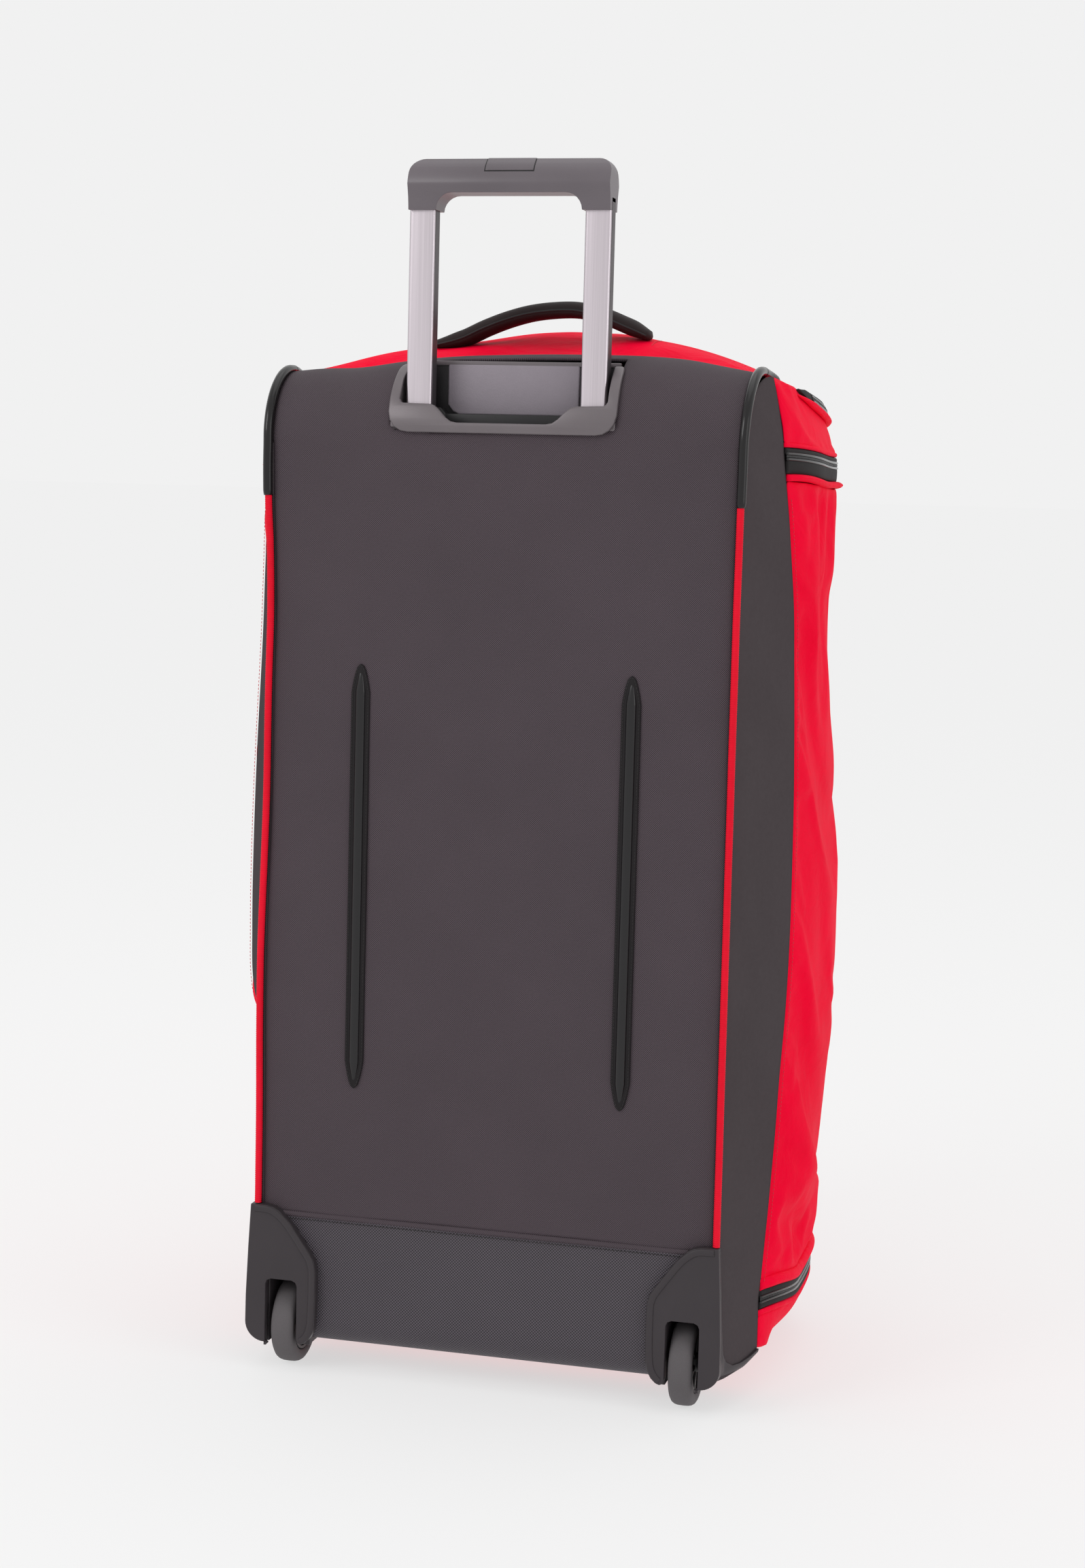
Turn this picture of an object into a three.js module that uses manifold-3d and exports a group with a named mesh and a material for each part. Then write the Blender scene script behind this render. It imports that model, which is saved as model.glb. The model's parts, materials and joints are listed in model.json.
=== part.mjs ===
// Rolling duffel bag, standing upright on two wheels and two feet.
// Millimetres, +Z up, +X to the right when facing the trolley side, +Y from the trolley side towards the lid side.
// The trolley side (back) is flat and lies near the plane y = 0 of the inner group; the group is then shifted so that
// the origin is the centre of the footprint box at floor level.
import * as THREE from "three";
import { mergeVertices } from "three/addons/utils/BufferGeometryUtils.js";
import Module from "manifold-3d";

const wasm = await Module();
wasm.setup();

// ---------- driving dimensions ----------
const Y_SHIFT = -190; // centre of the depth range is put on the origin
const W2 = 185; // half width of the back between the pipings
const YM = 150; // depth at which the sides are widest
const SKIN = 3; // fabric and foam wall
const ROLL = 58; // radius of the rolled top edge of the back
const ROLL_TOP = 808; // height of the rolled edge on the centre line
const ROLL_DROP = 16; // the rolled edge is this much lower at the pipings
const GUARD_TOP = 128;
const BASE_Z = 22; // underside of the bag
const ZIP_X = 165; // legs of the main zip
const ZIP_TOP = 688; // crossing of the main zip
const ZIP_R = 48; // its corner radius
const LID_Z = 125; // lower end of the lid
const HANDLE_Y = 112; // grab handle on the top end
const UZ = [712, 738]; // upper end-pocket zip band
const LZ = [62, 90]; // lower end-pocket zip band
const GAP = 0.35;
const TUBE_X = 68.4;
const TUBE_Y = 15.5;
const WHEEL = { x: 161.5, y: 24, z: 34, r: 34, w: 19 };

const M = {
  backFabric: new THREE.MeshStandardMaterial({ color: 0x4a4145, roughness: 0.85, metalness: 0 }),
  guardFabric: new THREE.MeshStandardMaterial({ color: 0x47424a, roughness: 0.8, metalness: 0 }),
  tarpaulin: new THREE.MeshStandardMaterial({ color: 0x48444a, roughness: 0.55, metalness: 0 }),
  redFabric: new THREE.MeshStandardMaterial({ color: 0xe81e3c, roughness: 0.7, metalness: 0 }),
  redPiping: new THREE.MeshStandardMaterial({ color: 0xe8203c, roughness: 0.7, metalness: 0 }),
  blackTape: new THREE.MeshStandardMaterial({ color: 0x1e1c1d, roughness: 0.8, metalness: 0 }),
  blackPiping: new THREE.MeshStandardMaterial({ color: 0x232224, roughness: 0.3, metalness: 0 }),
  ribVinyl: new THREE.MeshStandardMaterial({ color: 0x252427, roughness: 0.3, metalness: 0 }),
  plastic: new THREE.MeshStandardMaterial({ color: 0x4c494d, roughness: 0.5, metalness: 0 }),
  grip: new THREE.MeshStandardMaterial({ color: 0x4f494a, roughness: 0.45, metalness: 0 }),
  alu: new THREE.MeshStandardMaterial({ color: 0xc9c1c6, roughness: 0.35, metalness: 0.9 }),
  steel: new THREE.MeshStandardMaterial({ color: 0x8d8f93, roughness: 0.35, metalness: 0.9 }),
  rubber: new THREE.MeshStandardMaterial({ color: 0x4a4748, roughness: 0.8, metalness: 0 }),
  hub: new THREE.MeshStandardMaterial({ color: 0x232225, roughness: 0.45, metalness: 0 }),
  lining: new THREE.MeshStandardMaterial({ color: 0x2b2a2d, roughness: 0.8, metalness: 0 }),
  board: new THREE.MeshStandardMaterial({ color: 0x2e2e30, roughness: 0.6, metalness: 0 }),
  leather: new THREE.MeshStandardMaterial({ color: 0x2a2523, roughness: 0.6, metalness: 0 }),
  webbing: new THREE.MeshStandardMaterial({ color: 0x232222, roughness: 0.85, metalness: 0 }),
  zinc: new THREE.MeshStandardMaterial({ color: 0x3a3a3d, roughness: 0.35, metalness: 0.8 }),
};

// ---------- solids ----------
function toManifold(geometry) {
  const g = geometry.index ? geometry.toNonIndexed() : geometry.clone();
  const only = new THREE.BufferGeometry().setAttribute("position", g.getAttribute("position"));
  const m = mergeVertices(only, 1e-3);
  const make = (tris) => new wasm.Manifold(new wasm.Mesh({ numProp: 3, vertProperties: new Float32Array(m.attributes.position.array), triVerts: tris }));
  const tris = new Uint32Array(m.index.array), solid = make(tris);
  if (solid.volume() >= 0) return solid;
  for (let i = 0; i < tris.length; i += 3) [tris[i + 1], tris[i + 2]] = [tris[i + 2], tris[i + 1]];
  return make(tris);
}
function toGeometry(solid) {
  const m = solid.getMesh();
  const v = new Float32Array(m.numVert * 3);
  for (let i = 0; i < m.numVert; i++) v.set(m.vertProperties.subarray(i * m.numProp, i * m.numProp + 3), i * 3);
  const g = new THREE.BufferGeometry();
  g.setAttribute("position", new THREE.BufferAttribute(v, 3));
  g.setIndex(new THREE.BufferAttribute(new Uint32Array(m.triVerts), 1));
  return g;
}
// Largest connected piece, so that a cut never leaves slivers behind.
function largest(solid) {
  const parts = solid.decompose();
  return parts.reduce((a, b) => (b.volume() > a.volume() ? b : a));
}
const boxG = (x0, x1, y0, y1, z0, z1) =>
  new THREE.BoxGeometry(x1 - x0, y1 - y0, z1 - z0).translate((x0 + x1) / 2, (y0 + y1) / 2, (z0 + z1) / 2);
const boxS = (...a) => toManifold(boxG(...a));
function roundedRect(x0, x1, y0, y1, r) {
  const s = new THREE.Shape();
  s.moveTo(x0 + r, y0);
  s.lineTo(x1 - r, y0);
  s.absarc(x1 - r, y0 + r, r, -Math.PI / 2, 0, false);
  s.lineTo(x1, y1 - r);
  s.absarc(x1 - r, y1 - r, r, 0, Math.PI / 2, false);
  s.lineTo(x0 + r, y1);
  s.absarc(x0 + r, y1 - r, r, Math.PI / 2, Math.PI, false);
  s.lineTo(x0, y0 + r);
  s.absarc(x0 + r, y0 + r, r, Math.PI, 1.5 * Math.PI, false);
  return s;
}
// A shape drawn in (x, y), raised along z.
const raise = (shape, z0, z1, segs = 3) =>
  new THREE.ExtrudeGeometry(shape, { depth: z1 - z0, bevelEnabled: false, curveSegments: segs }).translate(0, 0, z0);
// A shape drawn in (x, z), given depth along y from y0 to y1.
const slab = (shape, y0, y1, segs = 4) => {
  const g = new THREE.ExtrudeGeometry(shape, { depth: y1 - y0, bevelEnabled: false, curveSegments: segs });
  g.rotateX(Math.PI / 2); // z -> -y
  return g.translate(0, y1, 0);
};
function cylX(x0, x1, y, z, r, n = 24) {
  return new THREE.CylinderGeometry(r, r, x1 - x0, n).rotateZ(Math.PI / 2).translate((x0 + x1) / 2, y, z);
}
function cylZ(x, y, z0, z1, r, n = 16) {
  return new THREE.CylinderGeometry(r, r, z1 - z0, n).rotateX(Math.PI / 2).translate(x, y, (z0 + z1) / 2);
}
function poly(points) {
  const s = new THREE.Shape();
  points.forEach(([a, b], i) => (i ? s.lineTo(a, b) : s.moveTo(a, b)));
  return s;
}

// ---------- the bag's outer surface ----------
// Smooth interpolation through a table.
function table(xs, ys) {
  const n = xs.length;
  const m = xs.map((_, i) =>
    i === 0 ? (ys[1] - ys[0]) / (xs[1] - xs[0]) : i === n - 1 ? (ys[n - 1] - ys[n - 2]) / (xs[n - 1] - xs[n - 2]) : (ys[i + 1] - ys[i - 1]) / (xs[i + 1] - xs[i - 1]),
  );
  return (x) => {
    if (x <= xs[0]) return ys[0];
    if (x >= xs[n - 1]) return ys[n - 1];
    let i = 0;
    while (x > xs[i + 1]) i++;
    const h = xs[i + 1] - xs[i], t = (x - xs[i]) / h;
    return (2 * t ** 3 - 3 * t ** 2 + 1) * ys[i] + (t ** 3 - 2 * t ** 2 + t) * h * m[i] + (-2 * t ** 3 + 3 * t ** 2) * ys[i + 1] + (t ** 3 - t ** 2) * h * m[i + 1];
  };
}
const bulge = table([22, 50, 80, 140, 200, 250, 306, 362, 417, 472, 527, 582, 640, 691, 745, 770, 795], [17, 36, 46, 49, 50, 51, 54, 55, 54, 52, 49, 46, 44, 42, 37, 28, 17]);
const front = table([22, 50, 80, 150, 300, 500, 650, 720, 770, 795], [300, 323, 336, 346, 352, 352, 345, 335, 316, 302]);
const nse = table([22, 120, 400, 650, 795], [4.2, 3.6, 3.2, 3.6, 4.4]); // squareness of the front corners
const seamY = table([22, 90, 150, 230, 400, 600, 680, 740, 795], [57, 57, 62, 68, 72, 74, 65, 57, 62]);
// Top of the side wall: the roll of the back, then a ridge that falls gently towards the front.
const ridge = (y) => (y < ROLL ? ROLL_TOP - ROLL_DROP - ROLL + Math.sqrt(Math.max(0, ROLL ** 2 - (ROLL - y) ** 2)) : ROLL_TOP - ROLL_DROP - 0.11 * (y - ROLL));
const BOT = 26; // lower end of the side wall
// Plan curve of the right half at height z, as points by arc length from the piping to the front centre.
const planCache = new Map();
function plan(z) {
  const key = Math.round(z * 10);
  if (planCache.has(key)) return planCache.get(key);
  const b = bulge(z), F = front(z), hw = W2 + b, NSE = nse(z), pts = [];
  for (let i = 0; i <= 40; i++) {
    const y = (YM * i) / 40;
    pts.push([W2 + b * Math.sin((Math.PI / 2) * (y / YM)), y]);
  }
  for (let i = 1; i <= 90; i++) {
    const a = (Math.PI / 2) * (i / 90);
    pts.push([hw * Math.cos(a) ** (2 / NSE), YM + (F - YM) * Math.sin(a) ** (2 / NSE)]);
  }
  pts[pts.length - 1][0] = 0;
  const s = [0];
  for (let i = 1; i < pts.length; i++) s.push(s[i - 1] + Math.hypot(pts[i][0] - pts[i - 1][0], pts[i][1] - pts[i - 1][1]));
  const out = { pts, s, len: s[s.length - 1] };
  planCache.set(key, out);
  return out;
}
function onPlan(z, s) {
  const p = plan(z);
  s = Math.min(Math.max(s, 0), p.len);
  let i = 0;
  while (i < p.s.length - 2 && s > p.s[i + 1]) i++;
  const t = (s - p.s[i]) / (p.s[i + 1] - p.s[i]);
  return [p.pts[i][0] + t * (p.pts[i + 1][0] - p.pts[i][0]), p.pts[i][1] + t * (p.pts[i + 1][1] - p.pts[i][1])];
}
const arcAtY = (z, y) => {
  const p = plan(z);
  let i = 0;
  while (i < 39 && y > p.pts[i + 1][1]) i++;
  return p.s[i] + ((y - p.pts[i][1]) / (p.pts[i + 1][1] - p.pts[i][1])) * (p.s[i + 1] - p.s[i]);
};
// f runs 0..1 from the right piping to the front centre and 1..2 on to the left piping; v runs 0..1 from bottom to ridge.
function wall(f, v, f0seam = false) {
  const left = f > 1, h = left ? 2 - f : f;
  let z = BOT + v * (780 - BOT), x, y;
  for (let k = 0; k < 4; k++) {
    const s0 = f0seam ? arcAtY(z, seamY(z)) : 0;
    [x, y] = onPlan(z, s0 + h * (plan(z).len - s0));
    z = BOT + v * (ridge(y) - BOT);
  }
  return new THREE.Vector3(left ? -x : x, y, z);
}
function gussetPoint(side, f, v) {
  // f 0..1 from piping to seam
  let y = 30, z = 400;
  for (let k = 0; k < 6; k++) {
    z = BOT + v * (ridge(y) - BOT);
    y = seamY(z) * f;
  }
  return new THREE.Vector3(side * (W2 + bulge(z) * Math.sin((Math.PI / 2) * (y / YM))), y, z);
}
// A sheet of even thickness from a grid of outer points; inside is away from the outward normal.
function sheet(fn, us, vs, t, flip = false, capV1 = false) {
  const nu = us.length, nv = vs.length, O = [], I = [];
  const e = 1e-3;
  for (const u of us)
    for (const v of vs) {
      const p = fn(u, v);
      const du = fn(Math.min(u + e, us[nu - 1]), v).sub(fn(Math.max(u - e, us[0]), v));
      const dv = fn(u, Math.min(v + e, vs[nv - 1])).sub(fn(u, Math.max(v - e, vs[0])));
      const n = du.cross(dv).normalize();
      if (flip) n.negate();
      O.push(p);
      I.push(p.clone().addScaledVector(n, -t));
    }
  const pos = [], put = (...p) => p.forEach((q) => pos.push(q.x, q.y, q.z));
  const quad = (a, b, c, d) => (put(a, b, c), put(a, c, d));
  const at = (A, i, j) => A[i * nv + j];
  for (let i = 0; i < nu - 1; i++)
    for (let j = 0; j < nv - 1; j++) {
      quad(at(O, i, j), at(O, i + 1, j), at(O, i + 1, j + 1), at(O, i, j + 1));
      quad(at(I, i, j), at(I, i, j + 1), at(I, i + 1, j + 1), at(I, i + 1, j));
    }
  for (let i = 0; i < nu - 1; i++) {
    quad(at(O, i + 1, 0), at(O, i, 0), at(I, i, 0), at(I, i + 1, 0));
    quad(at(O, i, nv - 1), at(O, i + 1, nv - 1), at(I, i + 1, nv - 1), at(I, i, nv - 1));
  }
  for (let j = 0; j < nv - 1; j++) {
    quad(at(O, 0, j), at(O, 0, j + 1), at(I, 0, j + 1), at(I, 0, j));
    quad(at(O, nu - 1, j + 1), at(O, nu - 1, j), at(I, nu - 1, j), at(I, nu - 1, j + 1));
  }
  const g = new THREE.BufferGeometry();
  g.setAttribute("position", new THREE.Float32BufferAttribute(flip ? flipped(pos) : pos, 3));
  return g;
}
function flipped(pos) {
  const out = pos.slice();
  for (let i = 0; i < out.length; i += 9)
    for (let k = 0; k < 3; k++) [out[i + 3 + k], out[i + 6 + k]] = [out[i + 6 + k], out[i + 3 + k]];
  return out;
}
const steps = (a, b, n) => Array.from({ length: n + 1 }, (_, i) => a + ((b - a) * i) / n);
// Domed end: closed disc between its rim and a centre, both as functions of the turn q (0..n).
function dome(rim, centre, power, rings, t, up) {
  const n = rim.length, pos = [];
  const outer = [], inner = [];
  for (let r = 0; r < rings; r++) {
    const k = 1 - r / rings; // 1 at the rim
    const row = rim.map((p) => {
      const q = new THREE.Vector3(centre.x + k * (p.x - centre.x), centre.y + k * (p.y - centre.y), 0);
      q.z = p.z + (centre.z - p.z) * (1 - k ** power);
      return q;
    });
    outer.push(row);
    inner.push(row.map((p) => new THREE.Vector3(p.x, p.y, p.z - up * t)));
  }
  const ci = new THREE.Vector3(centre.x, centre.y, centre.z - up * t);
  const tri = (a, b, c) => (up > 0 ? pos.push(a.x, a.y, a.z, b.x, b.y, b.z, c.x, c.y, c.z) : pos.push(a.x, a.y, a.z, c.x, c.y, c.z, b.x, b.y, b.z));
  const quad = (a, b, c, d) => (tri(a, b, c), tri(a, c, d));
  for (let i = 0; i < n; i++) {
    const j = (i + 1) % n;
    for (let r = 0; r < rings - 1; r++) {
      quad(outer[r][i], outer[r][j], outer[r + 1][j], outer[r + 1][i]);
      quad(inner[r][i], inner[r + 1][i], inner[r + 1][j], inner[r][j]);
    }
    tri(outer[rings - 1][i], outer[rings - 1][j], centre);
    tri(inner[rings - 1][i], ci, inner[rings - 1][j]);
    quad(outer[0][j], outer[0][i], inner[0][i], inner[0][j]);
  }
  const g = new THREE.BufferGeometry();
  g.setAttribute("position", new THREE.Float32BufferAttribute(pos, 3));
  return g;
}
// Ribbon or round cord swept along points with a given cross-section (list of [a, b] along side and normal).
function sweep(points, normals, section, closedSection = true) {
  const n = points.length, m = section.length, rows = [];
  for (let i = 0; i < n; i++) {
    const t = points[Math.min(i + 1, n - 1)].clone().sub(points[Math.max(i - 1, 0)]).normalize();
    const nn = normals[i].clone().addScaledVector(t, -normals[i].dot(t)).normalize();
    const side = t.clone().cross(nn).normalize();
    const sec = typeof section[0] === "function" ? section[0](i / (n - 1)) : section;
    rows.push(sec.map(([a, b]) => points[i].clone().addScaledVector(side, a).addScaledVector(nn, b)));
  }
  const k = rows[0].length, pos = [];
  const tri = (a, b, c) => pos.push(a.x, a.y, a.z, b.x, b.y, b.z, c.x, c.y, c.z);
  for (let i = 0; i < n - 1; i++)
    for (let j = 0; j < k; j++) {
      const l = (j + 1) % k;
      tri(rows[i][j], rows[i + 1][l], rows[i + 1][j]);
      tri(rows[i][j], rows[i][l], rows[i + 1][l]);
    }
  for (let j = 1; j < k - 1; j++) {
    tri(rows[0][0], rows[0][j + 1], rows[0][j]);
    tri(rows[n - 1][0], rows[n - 1][j], rows[n - 1][j + 1]);
  }
  const g = new THREE.BufferGeometry();
  g.setAttribute("position", new THREE.Float32BufferAttribute(pos, 3));
  return toGeometry(toManifold(g));
}
const circle = (r, n) => Array.from({ length: n }, (_, i) => [r * Math.cos((2 * Math.PI * i) / n), r * Math.sin((2 * Math.PI * i) / n)]);

// ---------- assembly ----------
const bag = new THREE.Group();
bag.position.set(0, Y_SHIFT, 0);
function put(name, shape, material, parent = bag) {
  const g = toGeometry(shape instanceof THREE.BufferGeometry ? toManifold(shape) : shape);
  const m = new THREE.Mesh(g, material);
  m.name = name;
  parent.add(m);
  return m;
}
const both = (fn) => [["left", -1], ["right", 1]].forEach(([n, s]) => fn(n, s));

// ---------- wheel housings, wheels, feet ----------
const housingBlocks = {};
both((n, s) => {
  const X = (a, b) => (s > 0 ? [a, b] : [-b, -a]);
  const outline = [[186, 134], [176, 132.5], [168, 127], [155, 111], [140, 94], [135, 85], [134, 70], [137, 40], [141, 26], [148, 18.5], [183, 18.5], [192, 26], [192, 134]].map(([a, b]) => [s * a, b]);
  if (s < 0) outline.reverse();
  let h = toManifold(slab(poly(outline), -7, -0.5));
  h = h.add(boxS(...X(141.5, 181), -3, 64, 19, 84));
  // side flange: narrow up the piping, a toe along the lower edge of the gusset
  const side = poly([[-7, 134], [-7, 22], [2, 18], [52, 18], [62, 22], [67, 30], [40, 29], [24, 35], [12, 52], [8, 70], [6, 110], [6, 134]]);
  const sg = new THREE.ExtrudeGeometry(side, { depth: 3.2, bevelEnabled: false, curveSegments: 4 });
  const p = sg.getAttribute("position");
  for (let i = 0; i < p.count; i++) {
    const y = p.getX(i), z = p.getY(i), d = p.getZ(i);
    const zz = Math.max(z, BOT);
    const sx = W2 + bulge(zz) * Math.sin((Math.PI / 2) * (Math.max(y, 0) / YM)) + (z < 30 ? -(30 - z) * 0.12 : 0);
    p.setXYZ(i, s * (sx + 3.4 + d), y, z);
  }
  h = h.add(toManifold(sg));
  h = h.add(boxS(...X(178, 191.5), -7, -3.8, 18.6, 134));
  h = h.add(toManifold(raise(poly(s > 0 ? [[150, 3], [190, 3], [198, 28], [199, 50], [150, 50]] : [[-150, 3], [-150, 50], [-199, 50], [-198, 28], [-190, 3]]), 17.2, 19.6)));
  // wheel well, open below and behind
  h = h.subtract(toManifold(raise(roundedRect(...X(148.5, 175), -30, 61, 3), -5, 74)));
  h = h.subtract(toManifold(cylX(...X(144, 179.5), WHEEL.y, WHEEL.z, 3.35, 20)));
  put("wheel_housing_" + n, largest(h), M.plastic);
  housingBlocks[n] = boxS(...X(141.0, 181.5), -4, 64.6, 10, 84.5);
  const g = (prof) => new THREE.LatheGeometry(prof.map(([r, x]) => new THREE.Vector2(r, x)), 22).rotateZ(-Math.PI / 2).translate(s * WHEEL.x, WHEEL.y, WHEEL.z);
  const w = WHEEL.w / 2; // half width
  put("wheel_tyre_" + n, g([[24.3, -w + 1], [24.3, w - 1], [28, w], [31.5, w - 0.6], [33.6, w - 3.2], [34, 0], [33.6, -w + 3.2], [31.5, -w + 0.6], [28, -w], [24.3, -w + 1]]), M.rubber);
  put("wheel_hub_" + n, g([[3.45, -w - 1.2], [3.45, w + 1.2], [7, w + 1.2], [7.5, w - 2.5], [20.5, w - 3.5], [21.5, w - 0.8], [23.9, w - 0.8], [23.9, -w + 0.8], [21.5, -w + 0.8], [20.5, -w + 3.5], [7.5, -w + 2.5], [7, -w - 1.2], [3.45, -w - 1.2]]), M.hub);
  put("wheel_axle_" + n, cylX(...X(144.4, 179.1), WHEEL.y, WHEEL.z, 3, 20), M.steel);
  const foot = toManifold(raise(roundedRect(...X(132, 172), 228, 276, 9), 0, 4, 3)).add(toManifold(raise(roundedRect(...X(130, 174), 226, 278, 10), 4, BASE_Z - 0.8, 3)));
  put("foot_" + n, foot, M.plastic);
});
const blocks = housingBlocks.left.add(housingBlocks.right);
const housings = blocks;

// ---------- back: covered board, guard, ribs, pipings ----------
const rollTop = (x) => ROLL_TOP - ROLL_DROP * (x / W2) ** 2;
function backPoint(x, u) {
  // u 0..1 up the flat, 1..2 round the roll
  const zc = rollTop(x) - ROLL;
  if (u <= 1) return new THREE.Vector3(x, 0, GUARD_TOP + 0.4 + u * (zc - GUARD_TOP - 0.4));
  const a = (u - 1) * THREE.MathUtils.degToRad(80);
  return new THREE.Vector3(x, ROLL - ROLL * Math.cos(a), zc + ROLL * Math.sin(a));
}
let backPanel = toManifold(sheet(backPoint, steps(-180.6, 180.6, 12), [0, 0.5, 0.8, 1, 1.17, 1.34, 1.5, 1.67, 1.84, 2], 2.6));
backPanel = backPanel.subtract(boxS(-87.4, 87.4, -10, 37, 744.4, 840));
put("back_panel", largest(backPanel), M.backFabric);

const guardShape = poly([[0, GUARD_TOP], [0, 44], [2, 33], [8, 25.5], [17, BASE_Z], [60, BASE_Z], [60, BASE_Z + 2.4], [18, BASE_Z + 2.4], [9.7, 27.6], [4.4, 34], [2.4, 44], [2.4, GUARD_TOP]]);
// drawn in (y, z), raised along x
const gg = new THREE.ExtrudeGeometry(guardShape, { depth: 2 * 140.4, bevelEnabled: false });
gg.applyMatrix4(new THREE.Matrix4().set(0, 0, 1, -140.4, 1, 0, 0, 0, 0, 1, 0, 0, 0, 0, 0, 1));
let guard = toManifold(gg);
guard = guard.add(boxS(-178, 178, 0, 2.4, 86, GUARD_TOP));
put("lower_guard", largest(guard), M.guardFabric);

let board = boxS(-176, 176, 3.1, 5.3, 44.5, 731);
board = board.subtract(blocks);
put("back_board", largest(board), M.board);

both((n, s) => {
  const rib = new THREE.Shape();
  const x = s * 107, z0 = 233, z1 = 567;
  rib.moveTo(x - 7.5, z0 + 16);
  rib.quadraticCurveTo(x - 6, z0 + 2, x, z0);
  rib.quadraticCurveTo(x + 6, z0 + 2, x + 7.5, z0 + 16);
  rib.lineTo(x + 7.5, z1 - 16);
  rib.quadraticCurveTo(x + 6, z1 - 2, x, z1);
  rib.quadraticCurveTo(x - 6, z1 - 2, x - 7.5, z1 - 16);
  rib.closePath();
  const bead = new THREE.Shape();
  bead.moveTo(x - 4, z0 + 22);
  bead.lineTo(x, z0 + 6);
  bead.lineTo(x + 4, z0 + 22);
  bead.lineTo(x + 4, z1 - 22);
  bead.lineTo(x, z1 - 6);
  bead.lineTo(x - 4, z1 - 22);
  bead.closePath();
  const base = toManifold(slab(rib, -1.7, -0.4, 4)).add(toManifold(slab(bead, -5, -1.2, 4)));
  put("rib_strip_" + n, base, M.ribVinyl);

  // pipings in the seam between back and gusset
  const line = (pts) => pts.map(([a, b, c]) => new THREE.Vector3(s * a, b, c));
  const red = line([[186.4, -3.1, 134.6], [186.4, -3.1, 300], [186.4, -3.1, 500], [186.4, -3.1, 688.6]]);
  put("piping_" + n, sweep(red, red.map(() => new THREE.Vector3(0, -1, 0)), circle(2.8, 8)), M.redPiping);
  const R = ROLL + 4, zc = ROLL_TOP - ROLL_DROP - ROLL, path = [[187, -4, 689.2], [187, -4, 712]];
  for (let i = 0; i <= 8; i++) {
    const a = (i / 8) * (Math.PI / 2);
    path.push([187 + 2.5 * (i / 8), ROLL - R * Math.cos(a), zc + R * Math.sin(a)]);
  }
  
  const cp = line(path);
  put("corner_piping_" + n, sweep(cp, cp.map(() => new THREE.Vector3(s, 0, 0)), circle(3.7, 8)), M.blackPiping);

  // black gusset between the back and the red sides
  const us = [0.012, 0.25, 0.5, 0.75, 0.985];
  const gus = toManifold(sheet((u, v) => gussetPoint(s, u, v), us, steps(0.004, 0.996, 16), 2.6, s > 0 ? false : true));
  put("gusset_" + n, largest(gus.subtract(blocks)), M.tarpaulin);
});

// ---------- red shell ----------
const F0 = 0.004;
const fs = [];
for (let i = 0; i <= 32; i++) fs.push(F0 + ((2 - 2 * F0) * i) / 32);
const zsWall = [0, 0.05, 0.13, 0.3, 0.5, 0.7, 0.86, 0.94, 1];
const wallShell = toManifold(sheet((u, v) => wall(u, v, true), fs, zsWall, SKIN));
// rims of the two ends
function rimPoints(v, n, y0) {
  const out = [];
  for (let i = 0; i <= n; i++) out.push(wall(0.0 + (2 * i) / n, v));
  const keep = out.filter((p) => p.y > y0 + 6);
  return keep;
}
const rimTop = rimPoints(1, 32, 60);
// back line of the top end, from left to right
for (let i = 0; i <= 8; i++) {
  const x = -190 + 47.5 * i;
  rimTop.push(new THREE.Vector3(x, 61, rollTop(Math.max(-186, Math.min(186, x))) - 0.2));
}
const TOP_C = new THREE.Vector3(0, 150, 826);
const topDome = toManifold(dome(rimTop, TOP_C, 2.3, 4, SKIN, 1));
const rimBot = rimPoints(0, 32, 62);
for (let i = 0; i <= 4; i++) rimBot.push(new THREE.Vector3(-190 + 95 * i, 62, BASE_Z + 1.5));
const bottomDome = toManifold(dome(rimBot, new THREE.Vector3(0, 180, BASE_Z), 5, 2, SKIN, -1));

// Region of the lid on the front: square at its hinge end, round-cornered at the top.
const lidRegion = (o) => {
  const s = new THREE.Shape(), x = ZIP_X + o, z = ZIP_TOP + o, r = ZIP_R + o;
  s.moveTo(-x, LID_Z - o);
  s.lineTo(x, LID_Z - o);
  s.lineTo(x, z - r);
  s.absarc(x - r, z - r, r, 0, Math.PI / 2, false);
  s.lineTo(-x + r, z);
  s.absarc(-x + r, z - r, r, Math.PI / 2, Math.PI, false);
  s.closePath();
  return toManifold(slab(s, 250, 460, 6));
};
const inside = lidRegion(-3.5), outside = lidRegion(3.5);
const band = (z0, z1) => boxS(-300, 300, -50, 500, z0, z1);
const fullTop = wallShell.add(topDome).subtract(boxS(-300, 300, 0, 58.6, 740, 900));

put("main_body_panel", largest(wallShell.intersect(band(LZ[1] + GAP, UZ[0] - GAP)).subtract(outside)), M.redFabric);
const cap = largest(fullTop.intersect(band(UZ[1] + GAP, 900)));
put("top_end_pocket", cap, M.redFabric);
put("bottom_end_pocket", largest(wallShell.add(bottomDome).intersect(band(0, LZ[0] - GAP)).subtract(blocks)), M.redFabric);
put("upper_zip", largest(wallShell.intersect(band(...UZ))), M.blackTape);
put("lower_zip", largest(wallShell.intersect(band(...LZ))), M.blackTape);

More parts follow.
